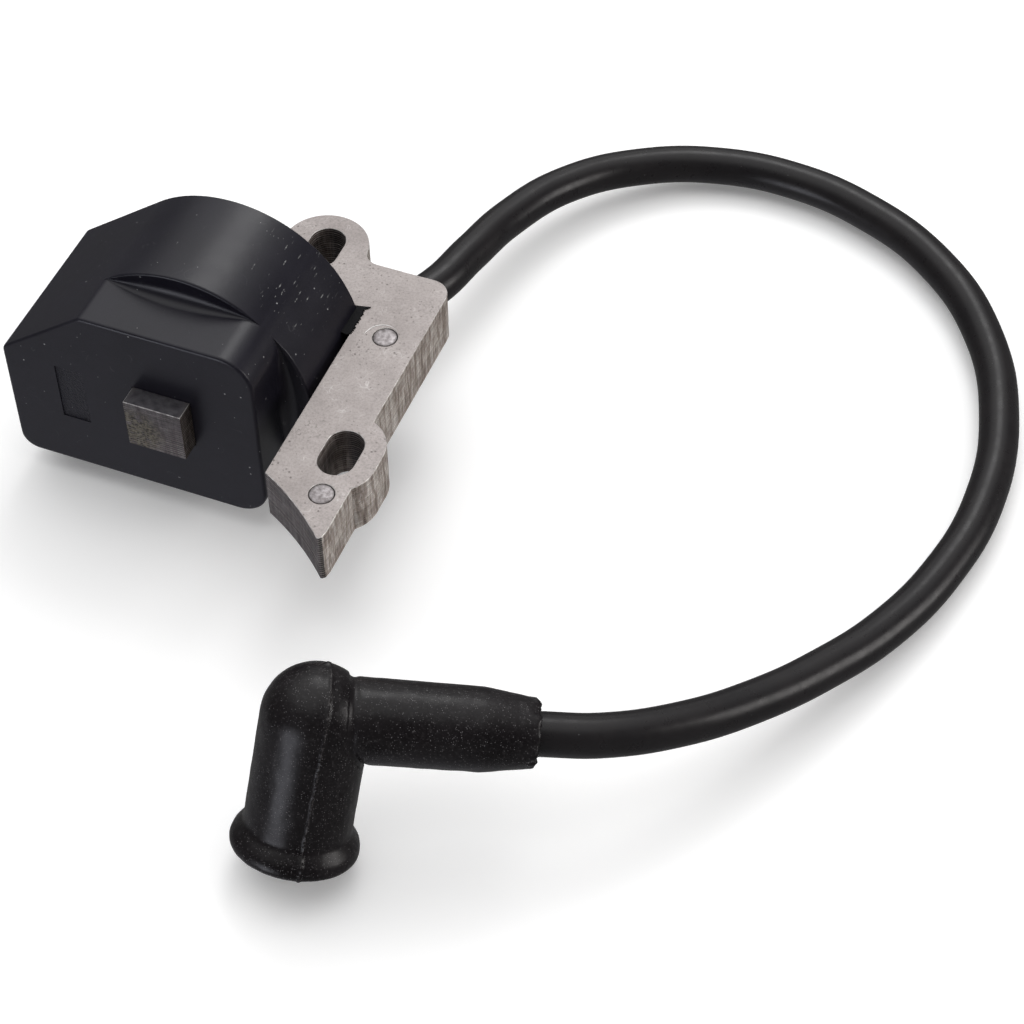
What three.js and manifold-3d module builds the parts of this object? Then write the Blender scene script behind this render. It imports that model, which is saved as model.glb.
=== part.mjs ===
// Flywheel ignition coil of a small two-stroke engine: a riveted U of steel laminations, a potted
// coil case around one leg, a high-tension lead and a swivelling rubber boot for the spark plug.
// Millimetres, +Z up. Everything is drawn from the inner front corner of the laminations' top face,
// with +Y along the legs towards the yoke, and the whole assembly is then moved so that the origin
// is the centre of the module's footprint, on the surface that it stands on.

import * as THREE from 'three';
import { mergeVertices } from 'three/addons/utils/BufferGeometryUtils.js';
import Module from 'manifold-3d';

const wasm = await Module();
wasm.setup();

// ---- driving dimensions ----------------------------------------------------------------------

// Laminated core: coil leg on the left, bar with the shark-fin pole on the right, yoke behind.
const STACK = 10;                     // twenty sheets of 0.5 mm
const SHEET = 0.5;
const LEG_X = -23.35;                 // axis of the coil leg
const LEG_WIDTH = 10.5;
const LEG_FRONT = 5.65;               // square pole end of the coil leg
const BAR_WIDTH = 11.9;
const YOKE_FRONT = 40.1;
const YOKE_BACK = 50.6;
const FLYWHEEL = { x: -24.8, y: -48.65, r: 54.6 };   // circle that both poles follow
const TIP_X = 13.4;                   // where the pole's arc ends
const TIP_SIDE_X = 14.4;
const HEAD_RADIUS = 3.5;
const BACK_LEFT_RADIUS = 2.5;
const SLOT_WIDTH = 6.3;
const SLOT_LENGTH = 9.9;
const FRONT_LUG = { x: 9.66, y: 8.3, r: 6.7 };       // slot centre, and radius about its ends
const REAR_LUG = { x: -12.8, y: 51.2, r: 7.65, arcY: 51.9, fillet: 2.8 };
const RIVET_RADIUS = 2.1;
const RIVET_PROUD = 0.125;
const RIVET_HOLE_RADIUS = 2.25;
const RIVETS = { rivet_front: [10.4, -0.9], rivet_rear: [5.9, 34.9], rivet_leg: [-22.8, 45.3] };

// Coil case: a box with one corner cut off, and a round drum about the leg behind it.
const CASE = { left: -53.1, right: -5.9, bottom: -23.6, top: 13.0, front: 9.2, back: 39.8 };
const CASE_RADII = { bottomLeft: 3.2, bottomRight: 5.7, topRight: 6.0 };
const CASE_WALL = 1.5;
const CHAMFER_SLOPE = THREE.MathUtils.degToRad(37.2);
const DRUM_RADIUS = 22.5;
const DRUM_FRONT = 19.2;
const LEG_WINDOW_GAP = 0.15;

// Inside the case.
const FIT_GAP = 0.3;                  // clearance between pieces that the resin joins
const COIL_ROOM = { radius: 20.6, back: 32.4 };
const ELECTRONICS_ROOM = { left: -51.2, right: -34, bottom: -21.6, top: -1, back: 20.6 };
const BOARD = { left: -50.8, right: -36.8, bottom: -21, top: -2, front: 12, back: 13.5 };
const RESIN_LEVEL = 39.4;

// High-tension lead and where it leaves the case.
const LEAD_DIAMETER = 7;
const LEAD_SIDES = 10;
const LEAD_STEPS = 64;
const LEAD_EXIT = new THREE.Vector3(-11.5, CASE.back, -15.5);
const LEAD_HEADING = THREE.MathUtils.degToRad(29);   // from +Y towards +X
const LEAD_INSIDE = 5.2;
const LEAD_REST = -23.95;             // height of its centre where it lies on the surface
const RELIEF = { inside: 3.5, outside: 7, rootRadius: 4.7, tipRadius: 4.15 };

// Rubber boot: an upright leg over the plug and a barrel along the lead, meeting in a round elbow.
const BOOT_ELBOW = new THREE.Vector3(26.85, -39.8, -2.5);
const BOOT_AZIMUTH = THREE.MathUtils.degToRad(22.9); // of the barrel, from +X towards +Y
const BARREL_DROP = THREE.MathUtils.degToRad(9.6);   // the barrel slopes down towards the lead
const LEG_LEAN = THREE.MathUtils.degToRad(23.3);     // the leg's foot leans forward
const LEG_SPLAY = THREE.MathUtils.degToRad(2.5);      // beyond a right angle to the barrel
const BOOT = {
  elbowRadius: 8.45, legLength: 23.3, legRadius: 8.4, skirtRadius: 10.1, plugBore: 6.3,
  barrelLength: 33.5, barrelRadius: 6.6, taperStart: 25.6, taperRadius: 5.3, leadBore: 3.8,
};
const LEAD_STOP = 8.5;                // the lead ends this far from the elbow's centre

// Heights, from the top face of the laminations.
const LEG_Z = -STACK / 2;
const FLOOR = LEG_Z - DRUM_RADIUS;

// ---- materials ---------------------------------------------------------------------------------

function material(color, roughness, metalness) {
  return new THREE.MeshStandardMaterial({ color, roughness, metalness });
}

const FINISH = {
  steel: material('#a7a29b', 0.45, 0.85),
  rivet: material('#bdb9b4', 0.4, 0.9),
  casePlastic: material('#1b1b20', 0.42, 0),
  resin: material('#17171a', 0.3, 0),
  nylon: material('#d9d4c4', 0.55, 0),
  copper: material('#a3562b', 0.35, 0.8),
  tape: material('#c8a64b', 0.5, 0),
  board: material('#20603a', 0.5, 0),
  component: material('#222226', 0.45, 0),
  ceramic: material('#c9a26a', 0.6, 0),
  brass: material('#b9974f', 0.35, 0.9),
  leadSkin: material('#141416', 0.35, 0),
  rubber: material('#1f1c1c', 0.8, 0),
  springSteel: material('#c4c6c8', 0.3, 0.9),
};

// ---- geometry helpers --------------------------------------------------------------------------

// Points along an arc, both ends included, angles in degrees.
function arc(x, y, r, from, to, steps) {
  const points = [];
  for (let i = 0; i <= steps; i += 1) {
    const a = THREE.MathUtils.degToRad(from + ((to - from) * i) / steps);
    points.push(new THREE.Vector2(x + r * Math.cos(a), y + r * Math.sin(a)));
  }
  return points;
}

function point(x, y) {
  return new THREE.Vector2(x, y);
}

function degrees(dx, dy) {
  return THREE.MathUtils.radToDeg(Math.atan2(dy, dx));
}

function slotOutline(x, y, width, length, steps) {
  const r = width / 2;
  const reach = (length - width) / 2;
  return [...arc(x, y + reach, r, 0, 180, steps), ...arc(x, y - reach, r, 180, 360, steps)];
}

function circleOutline(x, y, r, sides) {
  return arc(x, y, r, 0, 360, sides).slice(0, -1);
}

function rectangleOutline(left, bottom, right, top) {
  return [point(left, bottom), point(right, bottom), point(right, top), point(left, top)];
}

// A flat outline in X and Y, raised from one height to another.
function plate(outline, low, high, holes = []) {
  const shape = new THREE.Shape(outline);
  shape.holes = holes.map((hole) => new THREE.Path(hole));
  const geometry = new THREE.ExtrudeGeometry(shape, { depth: high - low, bevelEnabled: false });
  return geometry.translate(0, 0, low);
}

// An outline drawn in X and Z, run along Y from front to back.
function prism(outline, front, back, holes = []) {
  return plate(outline, 0, back - front, holes).rotateX(Math.PI / 2).translate(0, back, 0);
}

function box(left, front, bottom, right, back, top) {
  const geometry = new THREE.BoxGeometry(right - left, back - front, top - bottom);
  return geometry.translate((left + right) / 2, (front + back) / 2, (bottom + top) / 2);
}

// A profile of [radius, height] pairs turned about the Z axis.
function turned(profile, segments) {
  const points = profile.map(([r, z]) => new THREE.Vector2(r, z));
  return new THREE.LatheGeometry(points, segments).rotateX(Math.PI / 2);
}

// The same profile turned about the axis of the coil leg, with heights measured along +Y.
function turnedAboutLeg(profile, segments) {
  const points = profile.map(([r, y]) => new THREE.Vector2(r, y));
  return new THREE.LatheGeometry(points, segments).translate(LEG_X, 0, LEG_Z);
}

function solid(geometry) {
  const bare = geometry.index ? geometry.toNonIndexed() : geometry.clone();
  bare.deleteAttribute('normal');
  bare.deleteAttribute('uv');
  const merged = mergeVertices(bare, 1e-4);
  const vertProperties = new Float32Array(merged.attributes.position.array);
  const triVerts = new Uint32Array(merged.index.array);
  return new wasm.Manifold(new wasm.Mesh({ numProp: 3, vertProperties, triVerts }));
}

function surface(manifold) {
  const mesh = manifold.getMesh();
  const geometry = new THREE.BufferGeometry();
  geometry.setAttribute('position', new THREE.BufferAttribute(mesh.vertProperties, 3));
  geometry.setIndex(new THREE.BufferAttribute(mesh.triVerts, 1));
  geometry.computeVertexNormals();
  return geometry;
}

function cut(body, ...tools) {
  return tools.reduce((rest, tool) => rest.subtract(solid(tool)), body);
}

function named(name, geometry, finish) {
  const mesh = new THREE.Mesh(geometry, finish);
  mesh.name = name;
  return mesh;
}

// ---- laminated core ----------------------------------------------------------------------------

function coreOutline() {
  const slotReach = (SLOT_LENGTH - SLOT_WIDTH) / 2;
  const legLeft = LEG_X - LEG_WIDTH / 2;
  const legRight = LEG_X + LEG_WIDTH / 2;

  const poleFrom = degrees(-FLYWHEEL.x, -FLYWHEEL.y);
  const tipDrop = Math.sqrt(FLYWHEEL.r ** 2 - (TIP_X - FLYWHEEL.x) ** 2);
  const poleTo = degrees(TIP_X - FLYWHEEL.x, tipDrop);
  const tipY = FLYWHEEL.y + tipDrop;

  const frontLow = FRONT_LUG.y - slotReach;
  const frontHigh = FRONT_LUG.y + slotReach;
  const lugFrom = -THREE.MathUtils.radToDeg(Math.acos((TIP_SIDE_X - FRONT_LUG.x) / FRONT_LUG.r));
  const lugTo = THREE.MathUtils.radToDeg(Math.acos((BAR_WIDTH - FRONT_LUG.x) / FRONT_LUG.r));

  const filletY = YOKE_BACK + REAR_LUG.fillet;
  const filletRise = filletY - REAR_LUG.arcY;
  const filletRun = Math.sqrt((REAR_LUG.r + REAR_LUG.fillet) ** 2 - filletRise ** 2);
  const filletAngle = degrees(filletRun, filletRise);

  return [
    ...arc(FLYWHEEL.x, FLYWHEEL.y, FLYWHEEL.r, poleFrom, poleTo, 8),
    point(TIP_X + 0.6, tipY + 0.3),
    point(TIP_SIDE_X, tipY + 1.9),
    ...arc(FRONT_LUG.x, frontLow, FRONT_LUG.r, lugFrom, 0, 5),
    ...arc(FRONT_LUG.x, frontHigh, FRONT_LUG.r, 0, lugTo, 7),
    ...arc(BAR_WIDTH - HEAD_RADIUS, YOKE_BACK - HEAD_RADIUS, HEAD_RADIUS, 0, 90, 5),
    ...arc(REAR_LUG.x + filletRun, filletY, REAR_LUG.fillet, 270, 180 + filletAngle, 3),
    ...arc(REAR_LUG.x, REAR_LUG.arcY, REAR_LUG.r, filletAngle, 180 - filletAngle, 14).slice(1, -1),
    ...arc(REAR_LUG.x - filletRun, filletY, REAR_LUG.fillet, -filletAngle, -90, 3),
    ...arc(legLeft + BACK_LEFT_RADIUS, YOKE_BACK - BACK_LEFT_RADIUS, BACK_LEFT_RADIUS, 90, 180, 3),
    point(legLeft, LEG_FRONT),
    point(legRight, LEG_FRONT),
    point(legRight, YOKE_FRONT),
    point(0, YOKE_FRONT),
  ];
}

function coreHoles() {
  const slots = [FRONT_LUG, REAR_LUG];
  return [
    ...slots.map((lug) => slotOutline(lug.x, lug.y, SLOT_WIDTH, SLOT_LENGTH, 9)),
    ...Object.values(RIVETS).map(([x, y]) => circleOutline(x, y, RIVET_HOLE_RADIUS, 12)),
  ];
}

function buildCore() {
  const core = new THREE.Group();
  const layers = {
    lamination_bottom: [-STACK, SHEET - STACK],
    lamination_packet: [SHEET - STACK, -SHEET],
    lamination_top: [-SHEET, 0],
  };
  for (const [name, [low, high]] of Object.entries(layers)) {
    core.add(named(name, plate(coreOutline(), low, high, coreHoles()), FINISH.steel));
  }
  for (const [name, [x, y]] of Object.entries(RIVETS)) {
    const proud = RIVET_PROUD;
    const edge = RIVET_RADIUS - 0.3;
    const profile = [
      [0, -STACK - proud], [edge, -STACK - proud], [RIVET_RADIUS, -STACK],
      [RIVET_RADIUS, 0], [edge, proud], [0, proud],
    ];
    core.add(named(name, turned(profile, 12).translate(x, y, 0), FINISH.rivet));
  }
  return core;
}

// ---- coil case and resin -----------------------------------------------------------------------

// The case's outline in X and Z, drawn smaller by inset on every side.
function caseOutline(inset) {
  const { left, right, bottom, top } = CASE;
  const { bottomLeft, bottomRight, topRight } = CASE_RADII;
  const sine = Math.sin(CHAMFER_SLOPE);
  const cosine = Math.cos(CHAMFER_SLOPE);
  const reach = DRUM_RADIUS - inset;
  const chamferX = LEG_X + ((top - inset - LEG_Z) * cosine - reach) / sine;
  const chamferZ = LEG_Z + (reach + (left + inset - LEG_X) * sine) / cosine;
  return [
    ...arc(left + bottomLeft, bottom + bottomLeft, bottomLeft - inset, 180, 270, 4),
    ...arc(right - bottomRight, bottom + bottomRight, bottomRight - inset, 270, 360, 6),
    ...arc(right - topRight, top - topRight, topRight - inset, 0, 90, 6),
    point(chamferX, top - inset),
    point(left + inset, chamferZ),
  ];
}

// The box and the drum together, drawn smaller by inset, between the given depths.
function caseBody(inset, boxFront, drumFront, back) {
  const drum = turnedAboutLeg([
    [0, drumFront], [DRUM_RADIUS - inset, drumFront], [DRUM_RADIUS - inset, back], [0, back],
  ], 72);
  return solid(prism(caseOutline(inset), boxFront, back)).add(solid(drum));
}

function legWindow(gap, front, back) {
  const half = LEG_WIDTH / 2 + gap;
  return box(LEG_X - half, front, -STACK - gap, LEG_X + half, back, gap);
}

function leadDirection() {
  return new THREE.Vector3(Math.sin(LEAD_HEADING), Math.cos(LEAD_HEADING), 0);
}

// A profile turned about the lead's axis, with heights measured outwards from the case's back.
function turnedAboutLead(profile, segments) {
  const points = profile.map(([r, y]) => new THREE.Vector2(r, y));
  const geometry = new THREE.LatheGeometry(points, segments).rotateZ(-LEAD_HEADING);
  return geometry.translate(LEAD_EXIT.x, LEAD_EXIT.y, LEAD_EXIT.z);
}

function buildCase() {
  const wall = CASE_WALL;
  const shell = caseBody(0, CASE.front, DRUM_FRONT, CASE.back)
    .subtract(caseBody(wall, CASE.front + wall, DRUM_FRONT + wall, CASE.back + 1));
  return cut(shell, legWindow(LEG_WINDOW_GAP, CASE.front - 1, CASE.front + wall + 1));
}

// The resin behind and around the coil, with room for every piece that it holds.
function buildResin() {
  const inset = CASE_WALL + FIT_GAP;
  const fill = caseBody(inset, CASE.front + inset, DRUM_FRONT + inset, RESIN_LEVEL);
  const coilRoom = turnedAboutLeg([
    [0, CASE.front], [COIL_ROOM.radius, CASE.front],
    [COIL_ROOM.radius, COIL_ROOM.back], [0, COIL_ROOM.back],
  ], 48);
  const room = ELECTRONICS_ROOM;
  const electronicsRoom = box(
    room.left, CASE.front, room.bottom, room.right, room.back, room.top,
  );
  const reliefHole = turnedAboutLead([
    [0, -12], [1, -12], [1, -LEAD_INSIDE - 1.6], [RELIEF.rootRadius + FIT_GAP, -LEAD_INSIDE - 1.6],
    [RELIEF.rootRadius + FIT_GAP, 4], [0, 4],
  ], 24);
  const blade = STOP_TERMINAL;
  const bladeSlot = box(
    blade.x - blade.width / 2 - FIT_GAP, blade.front - FIT_GAP, blade.z - blade.thickness,
    blade.x + blade.width / 2 + FIT_GAP, CASE.back, blade.z + blade.thickness,
  );
  const window = legWindow(FIT_GAP, CASE.front, CASE.back);
  return cut(fill, coilRoom, electronicsRoom, reliefHole, bladeSlot, window);
}

// ---- coil --------------------------------------------------------------------------------------

const STOP_TERMINAL = {
  x: -45.5, z: -13.5, width: 4.8, thickness: 0.8, front: 34, shoulder: 40.1, back: 47.5,
  tailWidth: 3.8, tailThickness: 0.5,
};
const PRIMARY = {
  front: 11.9, back: 32, split: 16.4, flange: 1, flangeRadius: 13, tube: 1, winding: 9.6, corner: 3,
};
const SECONDARY = { front: 21.4, back: 31.6, flange: 1, inner: 13.4, tube: 14.4, winding: 19.5 };

// A square-holed bobbin, so that it can't turn on the leg.
function buildPrimaryBobbin() {
  const { front, back, flange, flangeRadius, tube, split } = PRIMARY;
  const half = LEG_WIDTH / 2 + FIT_GAP + tube;
  const core = box(LEG_X - half, front, LEG_Z - half, LEG_X + half, back, LEG_Z + half);
  let bobbin = solid(core);
  for (const y of [front, split, back - flange]) {
    const rim = flangeRadius;
    const disc = turnedAboutLeg([[0, y], [rim, y], [rim, y + flange], [0, y + flange]], 32);
    bobbin = bobbin.add(solid(disc));
  }
  return cut(bobbin, legWindow(FIT_GAP, front - 1, back + 1));
}

function roundedSquare(half, r) {
  const reach = half - r;
  return [
    ...arc(LEG_X + reach, LEG_Z + reach, r, 0, 90, 4),
    ...arc(LEG_X - reach, LEG_Z + reach, r, 90, 180, 4),
    ...arc(LEG_X - reach, LEG_Z - reach, r, 180, 270, 4),
    ...arc(LEG_X + reach, LEG_Z - reach, r, 270, 360, 4),
  ];
}

// A winding that fills the bobbin between two flanges, rounded outside and square inside.
function buildSquareWinding(front, back, outerHalf) {
  const half = LEG_WIDTH / 2 + PRIMARY.tube + 2 * FIT_GAP;
  const hole = rectangleOutline(LEG_X - half, LEG_Z - half, LEG_X + half, LEG_Z + half);
  return prism(roundedSquare(outerHalf, PRIMARY.corner), front, back, [hole]);
}

function buildSecondaryBobbin() {
  const { front, back, flange, inner, tube, winding } = SECONDARY;
  const rim = winding + 0.7;
  return turnedAboutLeg([
    [inner, front], [rim, front], [rim, front + flange], [tube, front + flange],
    [tube, back - flange], [rim, back - flange], [rim, back], [inner, back], [inner, front],
  ], 40);
}

function buildSecondaryWinding() {
  const { front, back, flange, tube, winding } = SECONDARY;
  const low = front + flange + 0.1;
  const high = back - flange - 0.1;
  const bore = tube + 0.1;
  return turnedAboutLeg([[bore, low], [winding, low], [winding, high], [bore, high], [bore, low]], 40);
}

function buildCoil() {
  const coil = new THREE.Group();
  const { front, back, flange, split, winding } = PRIMARY;
  const gap = 0.1;
  const trigger = buildSquareWinding(front + flange + gap, split - gap, winding - 0.8);
  const primary = buildSquareWinding(split + flange + gap, back - flange - gap, winding);
  coil.add(named('primary_bobbin', surface(buildPrimaryBobbin()), FINISH.nylon));
  coil.add(named('trigger_winding', trigger, FINISH.copper));
  coil.add(named('primary_winding', primary, FINISH.copper));
  coil.add(named('secondary_bobbin', buildSecondaryBobbin(), FINISH.nylon));
  coil.add(named('secondary_winding', buildSecondaryWinding(), FINISH.tape));
  return coil;
}

// ---- electronics -------------------------------------------------------------------------------

const SOLDER_GAP = 0.05;

// An axial component lying along Z: thin leads and a thicker body.
function axialComponent(x, z, radius, length) {
  const lead = 0.35;
  const half = length / 2;
  const tail = half + 1.5;
  const profile = [
    [0, -tail], [lead, -tail], [lead, -half], [radius, -half],
    [radius, half], [lead, half], [lead, tail], [0, tail],
  ];
  return turned(profile, 12).translate(x, BOARD.back + SOLDER_GAP + radius, z);
}

// A power transistor lying on its back: a thick body and a thin tab above it.
function powerTransistor(x, z) {
  const face = BOARD.back + SOLDER_GAP;
  const body = box(x - 4.2, face, z - 4.5, x + 4.2, face + 4.3, z + 4.5);
  const tab = box(x - 4.2, face, z + 4, x + 4.2, face + 1.2, z + 9);
  return surface(solid(body).add(solid(tab)));
}

function smallTransistor(x, z) {
  const face = BOARD.back + SOLDER_GAP;
  return plate([point(x - 2, face), ...arc(x, face + 1.9, 2.3, -30, 210, 8), point(x - 2, face)]
    .slice(1), z, z + 4.6);
}

function buildElectronics() {
  const electronics = new THREE.Group();
  const { left, front, bottom, right, back, top } = BOARD;
  const face = back + SOLDER_GAP;
  const legLeft = LEG_X - LEG_WIDTH / 2;
  const add = (name, geometry, finish) => electronics.add(named(name, geometry, finish));
  add('circuit_board', box(left, front, bottom, right, back, top), FINISH.board);
  add('power_transistor', powerTransistor(-46.4, -16), FINISH.component);
  add('control_transistor', smallTransistor(-39.3, -19.6), FINISH.component);
  add('bias_resistor', axialComponent(-40.3, -9.6, 1.2, 6), FINISH.ceramic);
  add('flyback_diode', axialComponent(-37.9, -7.4, 1, 4.2), FINISH.component);
  add('timing_capacitor', box(-49.4, face, -6.4, -43, face + 3, -2.6), FINISH.ceramic);
  add('ground_strap', box(right + 0.3, 11.2, -7, legLeft - 0.2, 11.6, -3), FINISH.brass);
  return electronics;
}

// A blade outside the case, on a thinner and narrower tail that the resin holds.
function buildStopTerminal() {
  const { x, z, width, thickness, front, shoulder, back, tailWidth, tailThickness } = STOP_TERMINAL;
  const half = width / 2;
  const outline = [
    point(x - half, shoulder), point(x + half, shoulder), point(x + half, back - 1.2),
    point(x + half - 1, back), point(x - half + 1, back), point(x - half, back - 1.2),
  ];
  const eye = circleOutline(x, back - 3.6, 0.8, 10);
  const blade = plate(outline, z - thickness / 2, z + thickness / 2, [eye]);
  const tail = box(
    x - tailWidth / 2, front, z - tailThickness / 2,
    x + tailWidth / 2, shoulder + 0.5, z + tailThickness / 2,
  );
  return surface(solid(blade).add(solid(tail)));
}

// ---- high-tension lead -------------------------------------------------------------------------

function barrelDirection() {
  const run = Math.cos(BARREL_DROP);
  const x = run * Math.cos(BOOT_AZIMUTH);
  const y = run * Math.sin(BOOT_AZIMUTH);
  return new THREE.Vector3(x, y, -Math.sin(BARREL_DROP));
}

function alongBarrel(distance) {
  return BOOT_ELBOW.clone().addScaledVector(barrelDirection(), distance);
}

function alongExit(distance) {
  return LEAD_EXIT.clone().addScaledVector(leadDirection(), distance);
}

// The lead leaves the case under the yoke, swings round in one wide loop that rests on the surface
// below, and climbs to the boot.
const LEAD_ROUTE = [
  alongExit(-LEAD_INSIDE),
  alongExit(0),
  alongExit(12),
  new THREE.Vector3(2, 63.2, -15.8),
  new THREE.Vector3(4.6, 75, -16.6),
  new THREE.Vector3(7, 87.5, -18.2),
  new THREE.Vector3(13, 102, -20),
  new THREE.Vector3(23.9, 114.3, -22.2),
  new THREE.Vector3(37.2, 121.2, -23.5),
  new THREE.Vector3(51.9, 122.8, LEAD_REST),
  new THREE.Vector3(67.5, 119.2, LEAD_REST),
  new THREE.Vector3(82.9, 110.6, LEAD_REST),
  new THREE.Vector3(96, 95.8, LEAD_REST),
  new THREE.Vector3(104.1, 76.5, LEAD_REST),
  new THREE.Vector3(106.6, 56.5, LEAD_REST),
  new THREE.Vector3(104.2, 38.7, -23.8),
  new THREE.Vector3(99, 23, -22.6),
  new THREE.Vector3(92.2, 9.5, -20.2),
  new THREE.Vector3(84.4, -3, -17),
  new THREE.Vector3(75.8, -14, -13.2),
  new THREE.Vector3(66.2, -22.4, -10),
  alongBarrel(BOOT.barrelLength + 2),
  alongBarrel(BOOT.barrelLength / 2),
  alongBarrel(LEAD_STOP),
];

function buildLead() {
  const path = new THREE.CatmullRomCurve3(LEAD_ROUTE, false, 'centripetal');
  const section = new THREE.Shape(circleOutline(0, 0, LEAD_DIAMETER / 2, LEAD_SIDES));
  return new THREE.ExtrudeGeometry(section, { steps: LEAD_STEPS, extrudePath: path });
}

// A brass cup for the end of the lead, with a tail towards the secondary winding.
function buildLeadContact() {
  const cup = LEAD_DIAMETER / 2 + FIT_GAP;
  const base = -LEAD_INSIDE - FIT_GAP;
  return turnedAboutLead([
    [0, base - 2.6], [0.5, base - 2.6], [0.5, base - 0.8], [cup + 0.7, base - 0.8],
    [cup + 0.7, base + 1.2], [cup, base + 1.2], [cup, base], [0, base],
  ], 20);
}

// A tapered rubber sleeve round the lead where it comes out of the resin.
function buildStrainRelief() {
  const bore = LEAD_DIAMETER / 2 + FIT_GAP;
  return turnedAboutLead([
    [bore, -RELIEF.inside], [RELIEF.rootRadius, -RELIEF.inside], [RELIEF.rootRadius, 1],
    [RELIEF.tipRadius, RELIEF.outside], [bore, RELIEF.outside], [bore, -RELIEF.inside],
  ], 20);
}

// ---- spark plug boot ---------------------------------------------------------------------------

// Local axes of the boot: origin in the elbow, +X along the barrel, -Z down the leg.
function bootGroup() {
  const barrel = barrelDirection();
  const side = new THREE.Vector3(0, 0, 1).cross(barrel).normalize();
  const up = barrel.clone().cross(side);
  up.applyAxisAngle(barrel, -LEG_LEAN);
  side.applyAxisAngle(barrel, -LEG_LEAN);
  const group = new THREE.Group();
  group.quaternion.setFromRotationMatrix(new THREE.Matrix4().makeBasis(barrel, side, up));
  group.position.copy(BOOT_ELBOW);
  return group;
}

function buildBoot() {
  const foot = -BOOT.legLength;
  const leg = turned([
    [0, foot], [BOOT.skirtRadius - 0.9, foot], [BOOT.skirtRadius - 0.15, foot + 0.5],
    [BOOT.skirtRadius, foot + 1.2], [BOOT.skirtRadius - 0.2, foot + 2.2],
    [BOOT.skirtRadius - 0.9, foot + 3.3], [BOOT.legRadius, foot + 4.4],
    [BOOT.elbowRadius, 0], [0, 0],
  ], 32).rotateY(LEG_SPLAY);
  const barrel = turned([
    [0, 0], [BOOT.barrelRadius, 0], [BOOT.barrelRadius - 0.1, BOOT.taperStart],
    [BOOT.taperRadius, BOOT.barrelLength], [0, BOOT.barrelLength],
  ], 28).rotateY(Math.PI / 2);
  const elbow = new THREE.SphereGeometry(BOOT.elbowRadius, 28, 16).rotateX(Math.PI / 2);
  const plugBore = turned([
    [0, foot - 1], [BOOT.plugBore, foot - 1], [BOOT.plugBore, -4.5], [4.4, -2.5], [0, -2.5],
  ], 28).rotateY(LEG_SPLAY);
  const leadBore = turned([
    [0, 0], [BOOT.leadBore, 0], [BOOT.leadBore, BOOT.barrelLength + 1], [0, BOOT.barrelLength + 1],
  ], 20).rotateY(Math.PI / 2);
  return surface(cut(solid(leg).add(solid(barrel)).add(solid(elbow)), plugBore, leadBore));
}

// The coiled wire clip inside the boot that grips the plug's terminal.
class ClipCurve extends THREE.Curve {
  getPoint(t) {
    const angle = t * CLIP.turns * 2 * Math.PI;
    const radius = CLIP.topRadius + (CLIP.footRadius - CLIP.topRadius) * t;
    return new THREE.Vector3(
      radius * Math.cos(angle), radius * Math.sin(angle), CLIP.top - CLIP.height * t,
    );
  }
}

const CLIP = { turns: 4, topRadius: 2.9, footRadius: 3.9, top: -5.2, height: 7.5, wire: 0.45 };

function buildClip() {
  const section = new THREE.Shape(circleOutline(0, 0, CLIP.wire, 6));
  const clip = new THREE.ExtrudeGeometry(section, { steps: 40, extrudePath: new ClipCurve() });
  return clip.rotateY(LEG_SPLAY);
}

// ---- assembly ----------------------------------------------------------------------------------

const group = new THREE.Group();
const assembly = new THREE.Group();

assembly.add(buildCore());
assembly.add(named('coil_case', surface(buildCase()), FINISH.casePlastic));
assembly.add(named('potting_resin', surface(buildResin()), FINISH.resin));
assembly.add(buildCoil());
assembly.add(buildElectronics());
assembly.add(named('stop_terminal', buildStopTerminal(), FINISH.brass));
assembly.add(named('lead_contact', buildLeadContact(), FINISH.brass));
assembly.add(named('strain_relief', buildStrainRelief(), FINISH.rubber));
assembly.add(named('high_tension_lead', buildLead(), FINISH.leadSkin));

const boot = bootGroup();
boot.add(named('plug_boot', buildBoot(), FINISH.rubber));
boot.add(named('plug_clip', buildClip(), FINISH.springSteel));
assembly.add(boot);

const footprint = {
  right: FRONT_LUG.x + FRONT_LUG.r,
  front: FLYWHEEL.y + Math.sqrt(FLYWHEEL.r ** 2 - (TIP_X - FLYWHEEL.x) ** 2),
  back: REAR_LUG.arcY + REAR_LUG.r,
};
assembly.position.set(
  -(CASE.left + footprint.right) / 2,
  -(footprint.front + footprint.back) / 2,
  -FLOOR,
);
group.add(assembly);

export default group;
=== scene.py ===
import math
import random

import bmesh
import bpy
from mathutils import Matrix, Vector, noise


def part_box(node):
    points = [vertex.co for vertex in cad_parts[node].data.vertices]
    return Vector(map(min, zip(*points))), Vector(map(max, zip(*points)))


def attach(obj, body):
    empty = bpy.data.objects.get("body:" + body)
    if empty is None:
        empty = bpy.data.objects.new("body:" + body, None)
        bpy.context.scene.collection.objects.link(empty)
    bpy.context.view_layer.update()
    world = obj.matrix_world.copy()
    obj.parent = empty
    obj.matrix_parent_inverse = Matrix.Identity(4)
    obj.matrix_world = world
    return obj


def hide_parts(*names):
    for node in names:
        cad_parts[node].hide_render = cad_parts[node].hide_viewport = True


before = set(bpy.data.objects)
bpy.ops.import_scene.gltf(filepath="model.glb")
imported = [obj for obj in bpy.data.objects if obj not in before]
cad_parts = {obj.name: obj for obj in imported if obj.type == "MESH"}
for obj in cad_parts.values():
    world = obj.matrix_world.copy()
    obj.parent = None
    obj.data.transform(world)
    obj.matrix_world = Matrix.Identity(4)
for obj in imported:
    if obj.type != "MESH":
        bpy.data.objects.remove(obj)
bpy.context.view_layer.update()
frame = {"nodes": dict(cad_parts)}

MM = 0.001
SCENE = bpy.context.scene

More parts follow.
